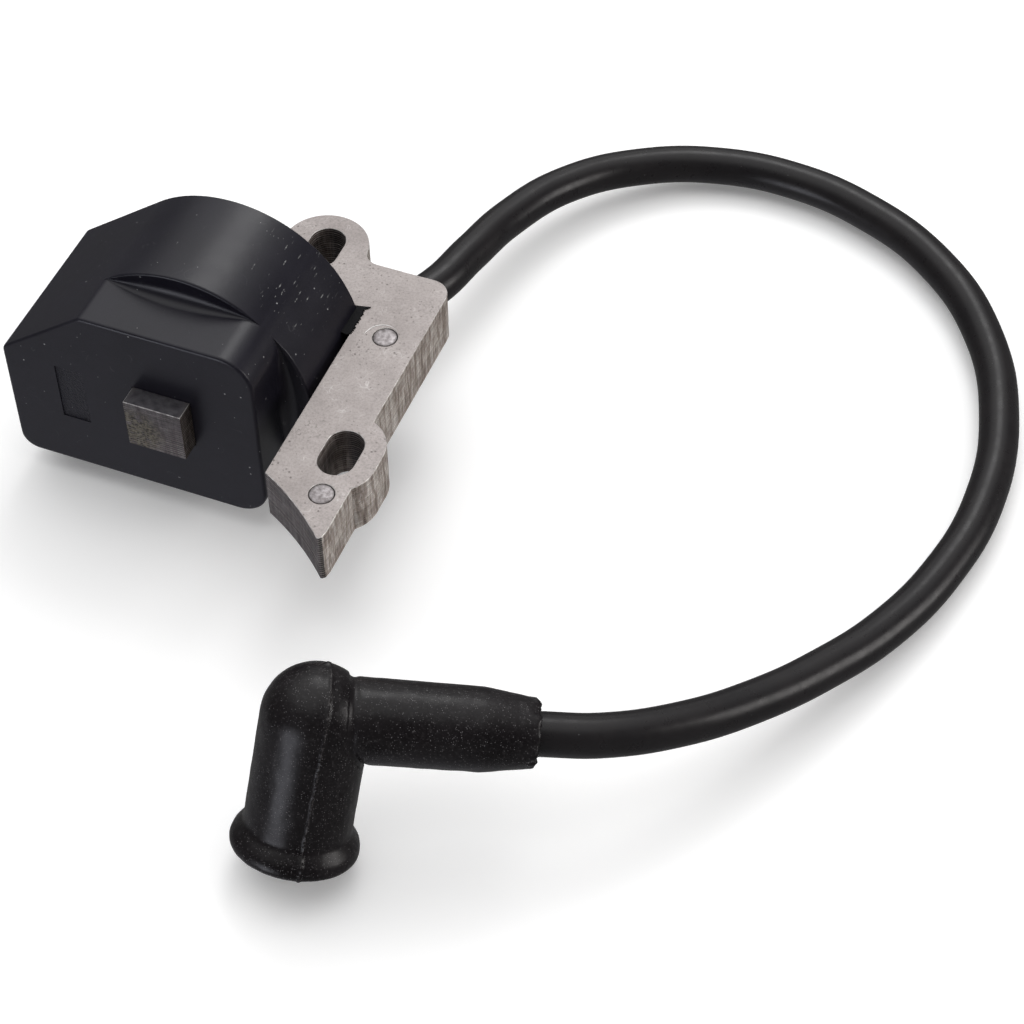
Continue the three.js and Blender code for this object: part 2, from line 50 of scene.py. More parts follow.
# Core coordinates, in millimetres: the origin is the inner front corner of the laminations' top
# face, with +Y along the legs towards the yoke.
CORE_RIGHT = 16.36
CORE_BACK = 59.55
CORE_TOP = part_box("lamination_top")[1]
ORIGIN = Vector((CORE_TOP.x - CORE_RIGHT * MM, CORE_TOP.y - CORE_BACK * MM, CORE_TOP.z))


def at(x, y, z):
    """A point of the core's coordinates, in metres of the row frame."""
    return ORIGIN + Vector((x, y, z)) * MM


# Sizes, in millimetres of those coordinates.
SHEETS = 20
SHEET = 0.5
LEG_X = -23.35
LEG_Z = -5.0
LEG_WIDTH = 10.5
LEG_FRONT = 5.65
BAR_WIDTH = 11.9
YOKE_FRONT = 40.1
YOKE_BACK = 50.6
FLYWHEEL = (-24.8, -48.65, 54.6)
TIP_X = 13.4
TIP_SIDE_X = 14.4
FRONT_LUG = (9.66, 8.3, 6.7)
REAR_LUG = (-12.8, 51.2, 7.65)
REAR_LUG_ARC_Y = 51.9
REAR_FILLET = 2.8
SLOT_WIDTH = 6.3
SLOT_REACH = 1.8
RIVET_HOLE = 2.18
RIVETS = {"rivet_front": (10.4, -0.9), "rivet_rear": (5.9, 34.9), "rivet_leg": (-22.8, 45.3)}

CASE_LEFT, CASE_RIGHT = -53.1, -5.9
CASE_BOTTOM, CASE_TOP = -23.6, 13.0
CASE_FRONT, CASE_BACK = 9.2, 39.8
CASE_WALL = 1.5
DRUM_RADIUS = 22.5
DRUM_FRONT = 19.2
CHAMFER_SLOPE = math.radians(37.2)
STAMP_LOW, STAMP_HIGH = (-43.3, -12.3), (-38.1, -0.3)
STAMP_DEPTH = 0.18
RESIN_LEVEL = 39.46

# The boot: where its elbow is, how the barrel runs and drops, and how the leg leans and splays.
BOOT_ELBOW = at(26.85, -39.8, -2.5)
BOOT_AZIMUTH = math.radians(22.9)
BARREL_DROP = math.radians(9.6)
LEG_LEAN = math.radians(23.3)
LEG_SPLAY = math.radians(2.5)


def axes(origin, x, y, z):
    """The matrix that places those axes at an origin."""
    matrix = Matrix((x, y, z)).transposed().to_4x4()
    matrix.translation = origin
    return matrix


def boot_axes():
    """Origin in the elbow, +X along the barrel, -Z down the leg."""
    run = math.cos(BARREL_DROP)
    east, north = run * math.cos(BOOT_AZIMUTH), run * math.sin(BOOT_AZIMUTH)
    barrel = Vector((east, north, -math.sin(BARREL_DROP)))
    side = Vector((0, 0, 1)).cross(barrel).normalized()
    up = barrel.cross(side)
    lean = Matrix.Rotation(-LEG_LEAN, 3, barrel)
    return axes(BOOT_ELBOW, barrel, lean @ side, lean @ up)


# ---- camera ----

def place_camera():
    data = bpy.data.cameras.new("camera")
    data.sensor_width = 36
    data.lens = 91.41
    camera = bpy.data.objects.new("camera", data)
    SCENE.collection.objects.link(camera)
    turn = Matrix.Rotation(math.radians(22.393), 4, "Z")
    tilt = Matrix.Rotation(math.radians(40.800), 4, "X")
    roll = Matrix.Rotation(math.radians(-1.017), 4, "Z")
    place = Matrix.Translation((0.16109, -0.26740, 0.33935))
    camera.matrix_world = place @ turn @ tilt @ roll
    SCENE.camera = camera


# ---- node graphs for materials ----

class Graph:
    """A principled material whose texture coordinates are object coordinates in millimetres."""

    def __init__(self, name, **settings):
        self.material = bpy.data.materials.new(name)
        self.material.use_nodes = True
        self.tree = self.material.node_tree
        self.tree.nodes.clear()
        output = self.add("ShaderNodeOutputMaterial")
        self.shader = self.add("ShaderNodeBsdfPrincipled")
        self.tree.links.new(self.shader.outputs[0], output.inputs["Surface"])
        for key, value in settings.items():
            self.shader.inputs[key.replace("_", " ")].default_value = value
        coordinates = self.add("ShaderNodeTexCoord")
        self.normal = coordinates.outputs["Normal"]
        self.mm = self.scaled(coordinates.outputs["Object"], 1000, 1000, 1000)

    def add(self, kind, **properties):
        node = self.tree.nodes.new(kind)
        for key, value in properties.items():
            setattr(node, key, value)
        return node

    def feed(self, socket, value):
        if isinstance(value, bpy.types.NodeSocket):
            self.tree.links.new(value, socket)
        else:
            socket.default_value = value

    def scaled(self, vector, x, y, z):
        node = self.add("ShaderNodeMapping")
        self.feed(node.inputs["Vector"], vector)
        node.inputs["Scale"].default_value = (x, y, z)
        return node.outputs[0]

    def noise(self, scale, detail=3, rough=0.55, vector=None, distortion=0):
        node = self.add("ShaderNodeTexNoise")
        self.feed(node.inputs["Vector"], vector or self.mm)
        node.inputs["Scale"].default_value = scale
        node.inputs["Detail"].default_value = detail
        node.inputs["Roughness"].default_value = rough
        node.inputs["Distortion"].default_value = distortion
        return node.outputs["Fac"]

    def cells(self, scale, vector=None, output="Distance"):
        node = self.add("ShaderNodeTexVoronoi")
        self.feed(node.inputs["Vector"], vector or self.mm)
        node.inputs["Scale"].default_value = scale
        return node.outputs[output]

    def ramp(self, value, *stops):
        """Each stop is (position, grey or colour)."""
        node = self.add("ShaderNodeValToRGB")
        elements = node.color_ramp.elements
        while len(elements) < len(stops):
            elements.new(0.5)
        for element, (position, colour) in zip(elements, stops):
            element.position = position
            grey = isinstance(colour, (int, float))
            element.color = (colour, colour, colour, 1) if grey else (*colour, 1)
        self.feed(node.inputs["Fac"], value)
        return node.outputs["Color"]

    def math(self, operation, a, b=0.0):
        node = self.add("ShaderNodeMath", operation=operation)
        self.feed(node.inputs[0], a)
        self.feed(node.inputs[1], b)
        return node.outputs[0]

    def times(self, a, b):
        return self.math("MULTIPLY", a, b)

    def vector(self, operation, a, b):
        """A vector operation: a number for a distance or a dot product, else a vector."""
        node = self.add("ShaderNodeVectorMath", operation=operation)
        self.feed(node.inputs[0], a)
        node.inputs[1].default_value = b
        return node.outputs["Value" if operation in ("DISTANCE", "DOT_PRODUCT") else "Vector"]

    def blend(self, a, b, share, mode="MIX"):
        node = self.add("ShaderNodeMix", data_type="RGBA", blend_type=mode)
        for socket, value in zip((node.inputs[0], node.inputs[6], node.inputs[7]), (share, a, b)):
            colour = isinstance(value, tuple) and len(value) == 3
            self.feed(socket, (*value, 1) if colour else value)
        return node.outputs[2]

    def axis(self, vector, letter):
        node = self.add("ShaderNodeSeparateXYZ")
        self.feed(node.inputs[0], vector)
        return node.outputs[letter]

    def colour(self, value):
        self.feed(self.shader.inputs["Base Color"], value)

    def rough(self, value):
        self.feed(self.shader.inputs["Roughness"], value)

    def metal(self, value):
        self.feed(self.shader.inputs["Metallic"], value)

    def bump(self, *layers):
        """Each layer is (height, strength, depth in millimetres), laid over the one before."""
        normal = None
        for height, strength, depth in layers:
            node = self.add("ShaderNodeBump")
            node.inputs["Strength"].default_value = strength
            node.inputs["Distance"].default_value = depth * MM
            self.feed(node.inputs["Height"], height)
            if normal:
                self.feed(node.inputs["Normal"], normal)
            normal = node.outputs[0]
        self.feed(self.shader.inputs["Normal"], normal)


def fade(g, distance, inner, outer):
    """1 up to the inner distance in millimetres, falling to 0 at the outer one."""
    return g.ramp(g.math("DIVIDE", distance, outer), (inner / outer, 1), (1.0, 0))


def near(g, point, inner, outer):
    """A soft mask, 1 within inner millimetres of a point in metres and 0 beyond outer."""
    return fade(g, g.vector("DISTANCE", g.mm, [value / MM for value in point]), inner, outer)


def near_upright(g, point, inner, outer):
    """The same mask about an upright line through the point."""
    flat = g.scaled(g.mm, 1, 1, 0)
    return fade(g, g.vector("DISTANCE", flat, (point[0] / MM, point[1] / MM, 0)), inner, outer)


def along(g, direction):
    """The surface's own direction, as the cosine of its angle to a direction."""
    return g.vector("DOT_PRODUCT", g.normal, Vector(direction).normalized())


def hairlines(g, scale, width):
    """Thin curved lines: the places where a noise passes through its middle value."""
    value = g.noise(scale, detail=1, rough=0.5)
    return g.ramp(g.math("ABSOLUTE", g.math("SUBTRACT", value, 0.5)), (0, 1), (width, 0))


def specks(g, scale, size, share, vector=None):
    """A mask of scattered specks: one dot in each of a few Voronoi cells."""
    distance = g.cells(scale, vector=vector)
    chosen = g.axis(g.cells(scale, vector=vector, output="Color"), "X")
    dot = g.ramp(distance, (0, 1), (size * 0.55, 1), (size, 0))
    pick = g.math("LESS_THAN", chosen, share)
    return g.times(dot, pick)


def steel_material(name):
    g = Graph(name)
    facing = g.math("ABSOLUTE", g.axis(g.normal, "Z"))
    flat = g.ramp(facing, (0.45, 0), (0.8, 1))

    # Rolled face: pale grey, mottled, with fine grain, a few dark pits and light scratches.
    mottle = g.noise(0.11, detail=4, rough=0.6)
    face = g.ramp(
        mottle,
        (0.3, (0.272, 0.243, 0.234)),
        (0.5, (0.322, 0.290, 0.280)),
        (0.72, (0.368, 0.334, 0.323)),
    )
    grain = g.noise(2.3, detail=4, rough=0.8)
    face = g.blend(face, g.ramp(grain, (0.34, 0.30), (0.60, 1.0)), 0.50, mode="MULTIPLY")
    patches = g.ramp(g.noise(0.16, detail=2), (0.46, 0), (0.62, 1))
    pits = g.times(specks(g, 1.15, 0.26, 0.55), patches)
    small_pits = specks(g, 2.1, 0.24, 0.12)
    spots = g.math("MAXIMUM", pits, small_pits)
    face = g.blend(face, (0.10, 0.085, 0.08), g.times(spots, 0.72))
    scratch_area = g.ramp(g.noise(0.22, detail=2), (0.52, 0), (0.62, 1))
    scratches = g.times(hairlines(g, 0.5, 0.012), scratch_area)
    face = g.blend(face, (0.78, 0.76, 0.75), g.times(scratches, 0.3))

    # Dark scored marks beside the drum's front and near the rear corner.
    scored = g.math(
        "MAXIMUM",
        near(g, at(2.5, 11.5, 0), 1.5, 5.0),
        near(g, at(11.0, 44.0, 0), 0.5, 3.0),
    )
    scored = g.times(scored, g.ramp(g.noise(0.9, detail=2), (0.46, 0), (0.54, 1)))
    scored = g.times(scored, hairlines(g, 0.62, 0.020))
    face = g.blend(face, (0.085, 0.075, 0.07), g.times(scored, 0.7))

    # Sheared edge: brown and grey streaks that run across the sheets.
    streaks = g.noise(1.1, detail=6, rough=0.75, vector=g.scaled(g.mm, 1, 1, 0.13), distortion=0.3)
    edge = g.ramp(
        streaks,
        (0.34, (0.080, 0.054, 0.043)),
        (0.42, (0.260, 0.206, 0.170)),
        (0.50, (0.480, 0.420, 0.375)),
        (0.60, (0.780, 0.735, 0.690)),
        (0.72, (0.860, 0.830, 0.800)),
    )
    rust = g.ramp(g.noise(0.3, detail=3), (0.42, 0), (0.62, 1))
    edge = g.blend(edge, (0.170, 0.120, 0.085), g.times(rust, 0.35))

    # The poles face forwards: darker, grey and purple under old varnish.
    forward = g.ramp(along(g, (-0.5, -0.86, 0)), (0.55, 0), (0.8, 1))
    varnish = g.ramp(
        g.noise(0.6, detail=5, rough=0.7),
        (0.35, (0.042, 0.036, 0.042)),
        (0.55, (0.088, 0.078, 0.086)),
        (0.75, (0.185, 0.168, 0.176)),
    )
    edge = g.blend(edge, varnish, g.times(forward, 0.92))

    # The blunt end of the side bar's tip is nearly black.
    tip = g.ramp(along(g, (0.64, -0.77, 0)), (0.86, 0), (0.92, 1))
    tip = g.times(tip, near_upright(g, at(TIP_X + 0.5, -9.3, 0), 1.4, 2.0))
    edge = g.blend(edge, (0.012, 0.011, 0.012), g.times(tip, 0.9))

    # Each sheet's edge has its own tone.
    sheet_tone = g.add("ShaderNodeObjectInfo").outputs["Random"]
    edge = g.blend(edge, g.ramp(sheet_tone, (0, 0.55), (1, 1.0)), 0.6, mode="MULTIPLY")

    # Painted shade: inside the slots the sheared edges are darkened, as shade would fall in these
    # hollows.
    slot_shade = g.math(
        "MAXIMUM",
        near_upright(g, at(*FRONT_LUG[:2], 0), 5.0, 5.5),
        near_upright(g, at(*REAR_LUG[:2], 0), 5.0, 5.5),
    )
    edge = g.blend(edge, (0.30, 0.27, 0.26), slot_shade, mode="MULTIPLY")

    # The coil leg's end carries dark varnish above and a greenish brown film at its lower left.
    leg_top = near(g, at(LEG_X, LEG_FRONT + 1.2, 0), 4.5, 7.5)
    leg_coat = g.ramp(
        g.noise(0.9, detail=4),
        (0.3, (0.060, 0.058, 0.068)),
        (0.7, (0.135, 0.13, 0.145)),
    )
    face = g.blend(face, leg_coat, g.times(leg_top, 0.95))
    film = near(g, at(LEG_X - 3.4, LEG_FRONT, -6.2), 3.2, 5.6)
    film = g.times(film, g.ramp(g.noise(0.7, detail=3), (0.36, 0), (0.44, 1)))
    film_colour = g.ramp(
        g.noise(1.6, detail=4),
        (0.40, (0.022, 0.019, 0.012)),
        (0.60, (0.17, 0.152, 0.11)),
    )
    edge = g.blend(edge, film_colour, g.times(film, 0.9))

    # The leg's right side lies in the case's shade.
    leg_side = g.times(
        near(g, at(LEG_X + LEG_WIDTH / 2, LEG_FRONT + 1.8, LEG_Z), 5.6, 6.4),
        g.ramp(along(g, (1, 0, 0)), (0.8, 0), (0.9, 1)),
    )
    edge = g.blend(edge, (0.20, 0.18, 0.17), leg_side, mode="MULTIPLY")

    # Painted highlight with some wear: the top sheet's chamfer is painted bright, and noise breaks
    # the line up like rubbed wear.
    rim = g.ramp(facing, (0.50, 0), (0.64, 1), (0.80, 1), (0.92, 0))
    height = g.math("SUBTRACT", g.axis(g.mm, "Z"), at(0, 0, -0.14).z / MM)
    rim = g.times(rim, g.math("GREATER_THAN", height, 0.0))
    chamfer_highlight_and_wear = g.times(rim, g.ramp(g.noise(0.8, detail=3), (0.38, 0.2), (0.6, 1)))

    colour = g.blend(edge, face, flat)
    # The chamfer's painted highlight, partly rubbed wear, is laid over the steel's colours.
    g.colour(g.blend(colour, (0.86, 0.84, 0.82), g.times(chamfer_highlight_and_wear, 0.75)))
    g.metal(g.ramp(flat, (0, 0.45), (1, 0.60)))
    face_rough = g.ramp(grain, (0.3, 0.40), (0.7, 0.56))
    edge_rough = g.ramp(streaks, (0.3, 0.62), (0.75, 0.4))
    g.rough(g.blend(edge_rough, face_rough, flat))
    g.bump(
        (grain, 0.45, 0.035),
        (g.times(spots, -1), 0.6, 0.05),
        (streaks, 0.35, 0.05),
        (film, 0.5, 0.06),
    )
    return g.material


def rivet_material():
    g = Graph("rivet_steel")
    blotch = g.noise(1.1, detail=4, rough=0.65)
    colour = g.ramp(
        blotch,
        (0.34, (0.15, 0.133, 0.133)),
        (0.5, (0.27, 0.248, 0.252)),
        (0.66, (0.40, 0.375, 0.38)),
    )
    grain = g.noise(4.5, detail=2)
    g.colour(g.blend(colour, g.ramp(grain, (0.3, 0.6), (0.7, 1)), 0.4, mode="MULTIPLY"))
    g.metal(g.ramp(blotch, (0.3, 0.5), (0.6, 0.7)))
    g.rough(g.ramp(grain, (0.3, 0.38), (0.7, 0.56)))
    g.bump((blotch, 0.5, 0.08), (grain, 0.3, 0.03))
    return g.material


def case_material():
    g = Graph("case_plastic", Specular_IOR_Level=0.26)
    cloud = g.noise(0.09, detail=3)
    body = g.ramp(cloud, (0.3, (0.0082, 0.0075, 0.0126)), (0.7, (0.0122, 0.0112, 0.0180)))
    fine = g.noise(4.2, detail=3, rough=0.7)
    body = g.blend(body, g.ramp(fine, (0.35, 0.6), (0.65, 1.0)), 0.6, mode="MULTIPLY")
    dust = g.math("MAXIMUM", specks(g, 0.42, 0.075, 0.35), specks(g, 1.3, 0.12, 0.06))
    body = g.blend(body, (0.42, 0.42, 0.43), g.times(dust, 0.6))

    # Short scuffs on the drum's right shoulder, mostly along its axis.
    scuffed = near(g, at(-8.5, 31.0, 11.5), 4.5, 10.5)
    bent = g.scaled(g.mm, 2.1, 0.34, 1.7)
    marks = g.math(
        "MAXIMUM",
        specks(g, 0.8, 0.20, 0.50, vector=bent),
        specks(g, 1.3, 0.18, 0.30, vector=g.scaled(g.mm, 1.6, 0.6, 1.9)),
    )
    marks = g.times(marks, scuffed)
    marks = g.times(marks, g.ramp(g.noise(1.9, detail=2), (0.42, 0.1), (0.56, 1)))
    body = g.blend(body, (0.26, 0.265, 0.26), g.times(marks, 0.85))
    rubbed = g.ramp(g.noise(0.3), (0.58, 0), (0.63, 1))
    light_marks = g.times(hairlines(g, 0.24, 0.005), rubbed)
    body = g.blend(body, (0.07, 0.07, 0.075), g.times(light_marks, 0.4))
    g.colour(body)
    g.rough(g.ramp(cloud, (0.3, 0.28), (0.7, 0.37)))

    # The moulded blank for a date stamp has a coarse eroded floor.
    middle = [(low + high) / 2 for low, high in zip(STAMP_LOW, STAMP_HIGH)]
    eroded = near(g, at(middle[0], CASE_FRONT, middle[1]), 6.3, 6.9)
    depth = g.math("SUBTRACT", g.axis(g.mm, "Y"), at(0, CASE_FRONT + 0.08, 0).y / MM)
    eroded = g.times(eroded, g.math("GREATER_THAN", depth, 0.0))
    coarse = g.times(g.noise(2.2, detail=3, rough=0.7), eroded)
    wavy = g.noise(0.35, detail=2)
    g.bump((wavy, 0.10, 0.15), (fine, 0.35, 0.03), (coarse, 1.0, 0.35), (marks, 0.4, 0.05))
    return g.material


def resin_material():
    g = Graph("resin", Coat_Weight=0.3)
    cloud = g.noise(0.2, detail=3)
    g.colour(g.ramp(cloud, (0.3, (0.007, 0.007, 0.008)), (0.7, (0.014, 0.013, 0.013))))
    g.rough(g.ramp(g.noise(1.4, detail=3), (0.3, 0.16), (0.7, 0.34)))
    pin_holes = specks(g, 0.5, 0.09, 0.3)
    g.bump((cloud, 0.35, 0.4), (g.times(pin_holes, -1), 0.8, 0.1))
    return g.material


def lead_material():
    g = Graph("lead_insulation", Specular_IOR_Level=0.21)
    cloud = g.noise(0.12, detail=3)
    body = g.ramp(cloud, (0.3, (0.0100, 0.0090, 0.0100)), (0.7, (0.0138, 0.0122, 0.0130)))
    fine = g.noise(4.0, detail=3, rough=0.65)
    dust = specks(g, 0.55, 0.06, 0.22)
    g.colour(g.blend(body, (0.2, 0.2, 0.2), g.times(dust, 0.4)))
    g.rough(g.ramp(g.noise(0.5, detail=4), (0.3, 0.25), (0.7, 0.36)))
    g.bump((g.noise(0.6, detail=2), 0.15, 0.12), (fine, 0.2, 0.02))
    return g.material


def parting_line(g):
    """Where the mould's two halves met: a broken pale line down the leg's outer side."""
    local = g.vector("SUBTRACT", g.mm, BOOT_ELBOW / MM)
    turn = boot_axes().to_3x3()
    across = g.vector("DOT_PRODUCT", local, turn @ Vector((1, 0, -0.06)))
    beyond = g.vector("DOT_PRODUCT", local, turn @ Vector((0, -1, 0)))
    offset = g.math("SUBTRACT", across, 1.0)
    wander = g.times(g.math("SUBTRACT", g.noise(0.5, detail=2), 0.5), 0.5)
    line = g.ramp(g.math("ABSOLUTE", g.math("ADD", offset, wander)), (0.03, 1), (0.13, 0))
    broken = g.ramp(g.noise(1.3, detail=3), (0.42, 0.05), (0.60, 0.9))
    outer = g.ramp(beyond, (0, 0), (1.0, 1))
    return g.times(g.times(line, broken), outer)


def rubber_material(name="boot_rubber", dusty=1.0):
    g = Graph(name, Specular_IOR_Level=0.19)
    cloud = g.noise(0.14, detail=5, rough=0.62)
    body = g.ramp(cloud, (0.3, (0.0056, 0.0044, 0.0050)), (0.7, (0.0110, 0.0090, 0.0102)))
    fine = g.noise(6.0, detail=3, rough=0.7)
    body = g.blend(body, g.ramp(fine, (0.3, 0.45), (0.7, 1.0)), 0.5, mode="MULTIPLY")
    bloom = g.ramp(g.noise(1.6, detail=5, rough=0.7), (0.52, 0), (0.76, 1))
    body = g.blend(body, (0.060, 0.056, 0.058), g.times(bloom, 0.30 * dusty))
    big = specks(g, 0.55, 0.05, 0.16)
    small = g.times(specks(g, 1.6, 0.12, 0.24), 0.50)
    tiny = g.times(specks(g, 3.8, 0.30, 0.36), 0.30)
    dust = g.math("MAXIMUM", big, g.math("MAXIMUM", small, tiny))
    dusted = g.ramp(g.noise(0.9, detail=2), (0.38, 0.35), (0.62, 1))
    dust = g.times(dust, dusted)
    body = g.blend(body, (0.60, 0.58, 0.59), g.times(dust, 0.8 * dusty))
    if name == "boot_rubber":
        body = g.blend(body, (0.055, 0.050, 0.050), parting_line(g))
    g.colour(body)
    g.rough(g.ramp(cloud, (0.3, 0.24), (0.7, 0.36)))
    g.bump((g.noise(0.5, detail=3), 0.22, 0.15), (fine, 0.4, 0.04), (dust, 0.4, 0.05))
    return g.material


def metal_material(name, dark, light, rough_low, rough_high, metallic=1.0):
    g = Graph(name, Metallic=metallic)
    cloud = g.noise(0.48, detail=4)
    g.colour(g.ramp(cloud, (0.3, dark), (0.7, light)))
    grain = g.noise(4.8, detail=3, rough=0.65)
    g.rough(g.ramp(grain, (0.3, rough_low), (0.7, rough_high)))
    g.bump((grain, 0.25, 0.02))
    return g.material


def plain_material(name, dark, light, rough_low, rough_high, specular=0.5):
    g = Graph(name, Specular_IOR_Level=specular)
    cloud = g.noise(0.35, detail=4)
    grain = g.noise(4.0, detail=3, rough=0.65)
    colour = g.ramp(cloud, (0.3, dark), (0.7, light))
    g.colour(g.blend(colour, g.ramp(grain, (0.3, 0.75), (0.7, 1)), 0.4, mode="MULTIPLY"))
    g.rough(g.ramp(grain, (0.3, rough_low), (0.7, rough_high)))
    g.bump((grain, 0.3, 0.03))
    return g.material


def wound_material(name, dark, light, pitch, metallic):
    """Turns of wire about an axis along Y, so the bands repeat along Y."""
    g = Graph(name, Metallic=metallic)
    wave = g.add("ShaderNodeTexWave", wave_type="BANDS", bands_direction="Y", wave_profile="SIN")
    g.feed(wave.inputs["Vector"], g.mm)
    wave.inputs["Scale"].default_value = math.pi / 10 / pitch
    wave.inputs["Distortion"].default_value = 0.6
    wave.inputs["Detail Scale"].default_value = 0.6
    turns = wave.outputs["Fac"]
    cloud = g.noise(0.5, detail=3)
    colour = g.ramp(turns, (0, dark), (1, light))
    g.colour(g.blend(colour, g.ramp(cloud, (0.3, 0.7), (0.7, 1)), 0.6, mode="MULTIPLY"))
    g.rough(g.ramp(cloud, (0.3, 0.25), (0.7, 0.42)))
    g.bump((turns, 0.8, pitch * 0.5))
    return g.material


# ---- mesh helpers ----

def piece(name, mesh, body, material, stands_for=(), smooth=None):
    """A finished mesh as a piece that rides on a body."""
    built = bpy.data.objects.new(name, mesh)
    SCENE.collection.objects.link(built)
    mesh.materials.clear()
    mesh.materials.append(material)
    if smooth is not None:
        mesh.polygons.foreach_set("use_smooth", [True] * len(mesh.polygons))
        mesh.set_sharp_from_angle(angle=math.radians(smooth))
    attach(built, body)
    if stands_for:
        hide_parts(*stands_for)
    return built


def mesh_of(bm, name):
    bmesh.ops.remove_doubles(bm, verts=bm.verts, dist=1e-7)
    bmesh.ops.recalc_face_normals(bm, faces=bm.faces)
    mesh = bpy.data.meshes.new(name)
    bm.to_mesh(mesh)
    bm.free()
    return mesh


def arc(x, y, r, start, stop, steps):
    points = []
    for i in range(steps + 1):
        a = math.radians(start + (stop - start) * i / steps)
        points.append((x + r * math.cos(a), y + r * math.sin(a)))
    return points


def degrees(dx, dy):
    return math.degrees(math.atan2(dy, dx))


def signed_area(loop):
    return sum(a[0] * b[1] - b[0] * a[1] for a, b in zip(loop, loop[1:] + loop[:1])) / 2


def turned_to(loop, anticlockwise):
    return loop if (signed_area(loop) > 0) == anticlockwise else loop[::-1]


def inset(loop, distance):
    """The loop moved to its left, which is into the material for an outline and for a hole."""
    moved = []
    for before, here, after in zip(loop[-1:] + loop[:-1], loop, loop[1:] + loop[:1]):
        a = (Vector(here) - Vector(before)).normalized()
        b = (Vector(after) - Vector(here)).normalized()
        left = Vector((-a.y - b.y, a.x + b.x))
        left /= max(1 + a.dot(b), 0.4)
        moved.append((here[0] + left.x * distance, here[1] + left.y * distance))
    return moved


def bridge(bm, lower, upper):
    count = len(lower)
    for i in range(count):
        j = (i + 1) % count
        corners = [lower[i], lower[j], upper[j], upper[i]]
        if len(set(corners)) == 4:
            bm.faces.new(corners)


def fill(bm, loops):
    edges = []
    for loop in loops:
        for a, b in zip(loop, loop[1:] + loop[:1]):
            edges.append(bm.edges.get((a, b)) or bm.edges.new((a, b)))
    bmesh.ops.triangle_fill(bm, use_beauty=True, use_dissolve=False, edges=edges)


def plate(name, outline, holes, low, high, chamfer, place=at):
    """A flat sheet with chamfered edges, in the coordinates that place() takes."""
    bm = bmesh.new()
    loops = [turned_to(outline, True)] + [turned_to(hole, False) for hole in holes]
    caps = ([], [])
    levels = ((chamfer, low), (0, low + chamfer), (0, high - chamfer), (chamfer, high))
    for loop in loops:
        rings = []
        for distance, height in levels:
            moved = inset(loop, distance) if distance else loop
            rings.append([bm.verts.new(place(x, y, height)) for x, y in moved])
        for lower, upper in zip(rings, rings[1:]):
            bridge(bm, lower, upper)
        caps[0].append(rings[0])
        caps[1].append(rings[-1])
    for cap in caps:
        fill(bm, cap)
    return mesh_of(bm, name)


def turned(name, profile, segments, matrix, closed=False):
    """A profile of (radius, height) pairs in millimetres, turned about the matrix's Z axis."""
    bm = bmesh.new()
    rings = []
    for r, z in profile:
        if r < 1e-6:
            rings.append([bm.verts.new(matrix @ Vector((0, 0, z * MM)))] * segments)
            continue
        ring = []
        for i in range(segments):
            a = 2 * math.pi * i / segments
            spot = Vector((r * math.cos(a) * MM, r * math.sin(a) * MM, z * MM))
            ring.append(bm.verts.new(matrix @ spot))
        rings.append(ring)
    pairs = list(zip(rings, rings[1:])) + ([(rings[-1], rings[0])] if closed else [])
    for lower, upper in pairs:
        for i in range(segments):
            j = (i + 1) % segments
            corners = list(dict.fromkeys([lower[i], lower[j], upper[j], upper[i]]))
            if len(corners) > 2:
                bm.faces.new(corners)
    return mesh_of(bm, name)


# ---- high-tension lead ----

# In metres of the row frame. The route is the lead's centreline, from inside the resin to the
# boot's elbow, and its second point is the exit.
LEAD_DIAMETER = 0.007
LEAD_EXIT = (0.00687, 0.01484, 0.01200)
LEAD_ROUTE = [
    (0.00435, 0.01030, 0.01200),
    (0.00687, 0.01484, 0.01200),
    (0.01269, 0.02534, 0.01200),
    (0.02037, 0.03824, 0.01170),
    (0.02297, 0.05004, 0.01090),
    (0.02537, 0.06254, 0.00930),
    (0.03137, 0.07704, 0.00750),
    (0.04227, 0.08934, 0.00530),
    (0.05557, 0.09624, 0.00400),
    (0.07027, 0.09784, 0.00355),
    (0.08587, 0.09424, 0.00355),
    (0.10127, 0.08564, 0.00355),
    (0.11437, 0.07084, 0.00355),
    (0.12247, 0.05154, 0.00355),
    (0.12497, 0.03154, 0.00355),
    (0.12257, 0.01374, 0.00370),
    (0.11737, -0.00196, 0.00490),
    (0.11057, -0.01546, 0.00730),
    (0.10277, -0.02796, 0.01050),
    (0.09417, -0.03896, 0.01430),
    (0.08457, -0.04736, 0.01750),
    (0.07746, -0.05114, 0.01908),
    (0.06043, -0.05833, 0.02221),
    (0.05294, -0.06149, 0.02358),
]


def build_lead():
    data = bpy.data.curves.new("lead_skin", "CURVE")
    data.dimensions = "3D"
    data.bevel_depth = LEAD_DIAMETER / 2
    data.bevel_resolution = 8
    data.resolution_u = 10
    data.use_fill_caps = True
    spline = data.splines.new("BEZIER")
    spline.bezier_points.add(len(LEAD_ROUTE) - 1)
    for knot, place in zip(spline.bezier_points, LEAD_ROUTE):
        knot.co = place
        knot.handle_left_type = "AUTO"
        knot.handle_right_type = "AUTO"
    data.materials.append(lead_material())
    lead = bpy.data.objects.new("lead_skin", data)
    SCENE.collection.objects.link(lead)
    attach(lead, "module")
    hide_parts("high_tension_lead")
    return lead


# ---- laminated core ----

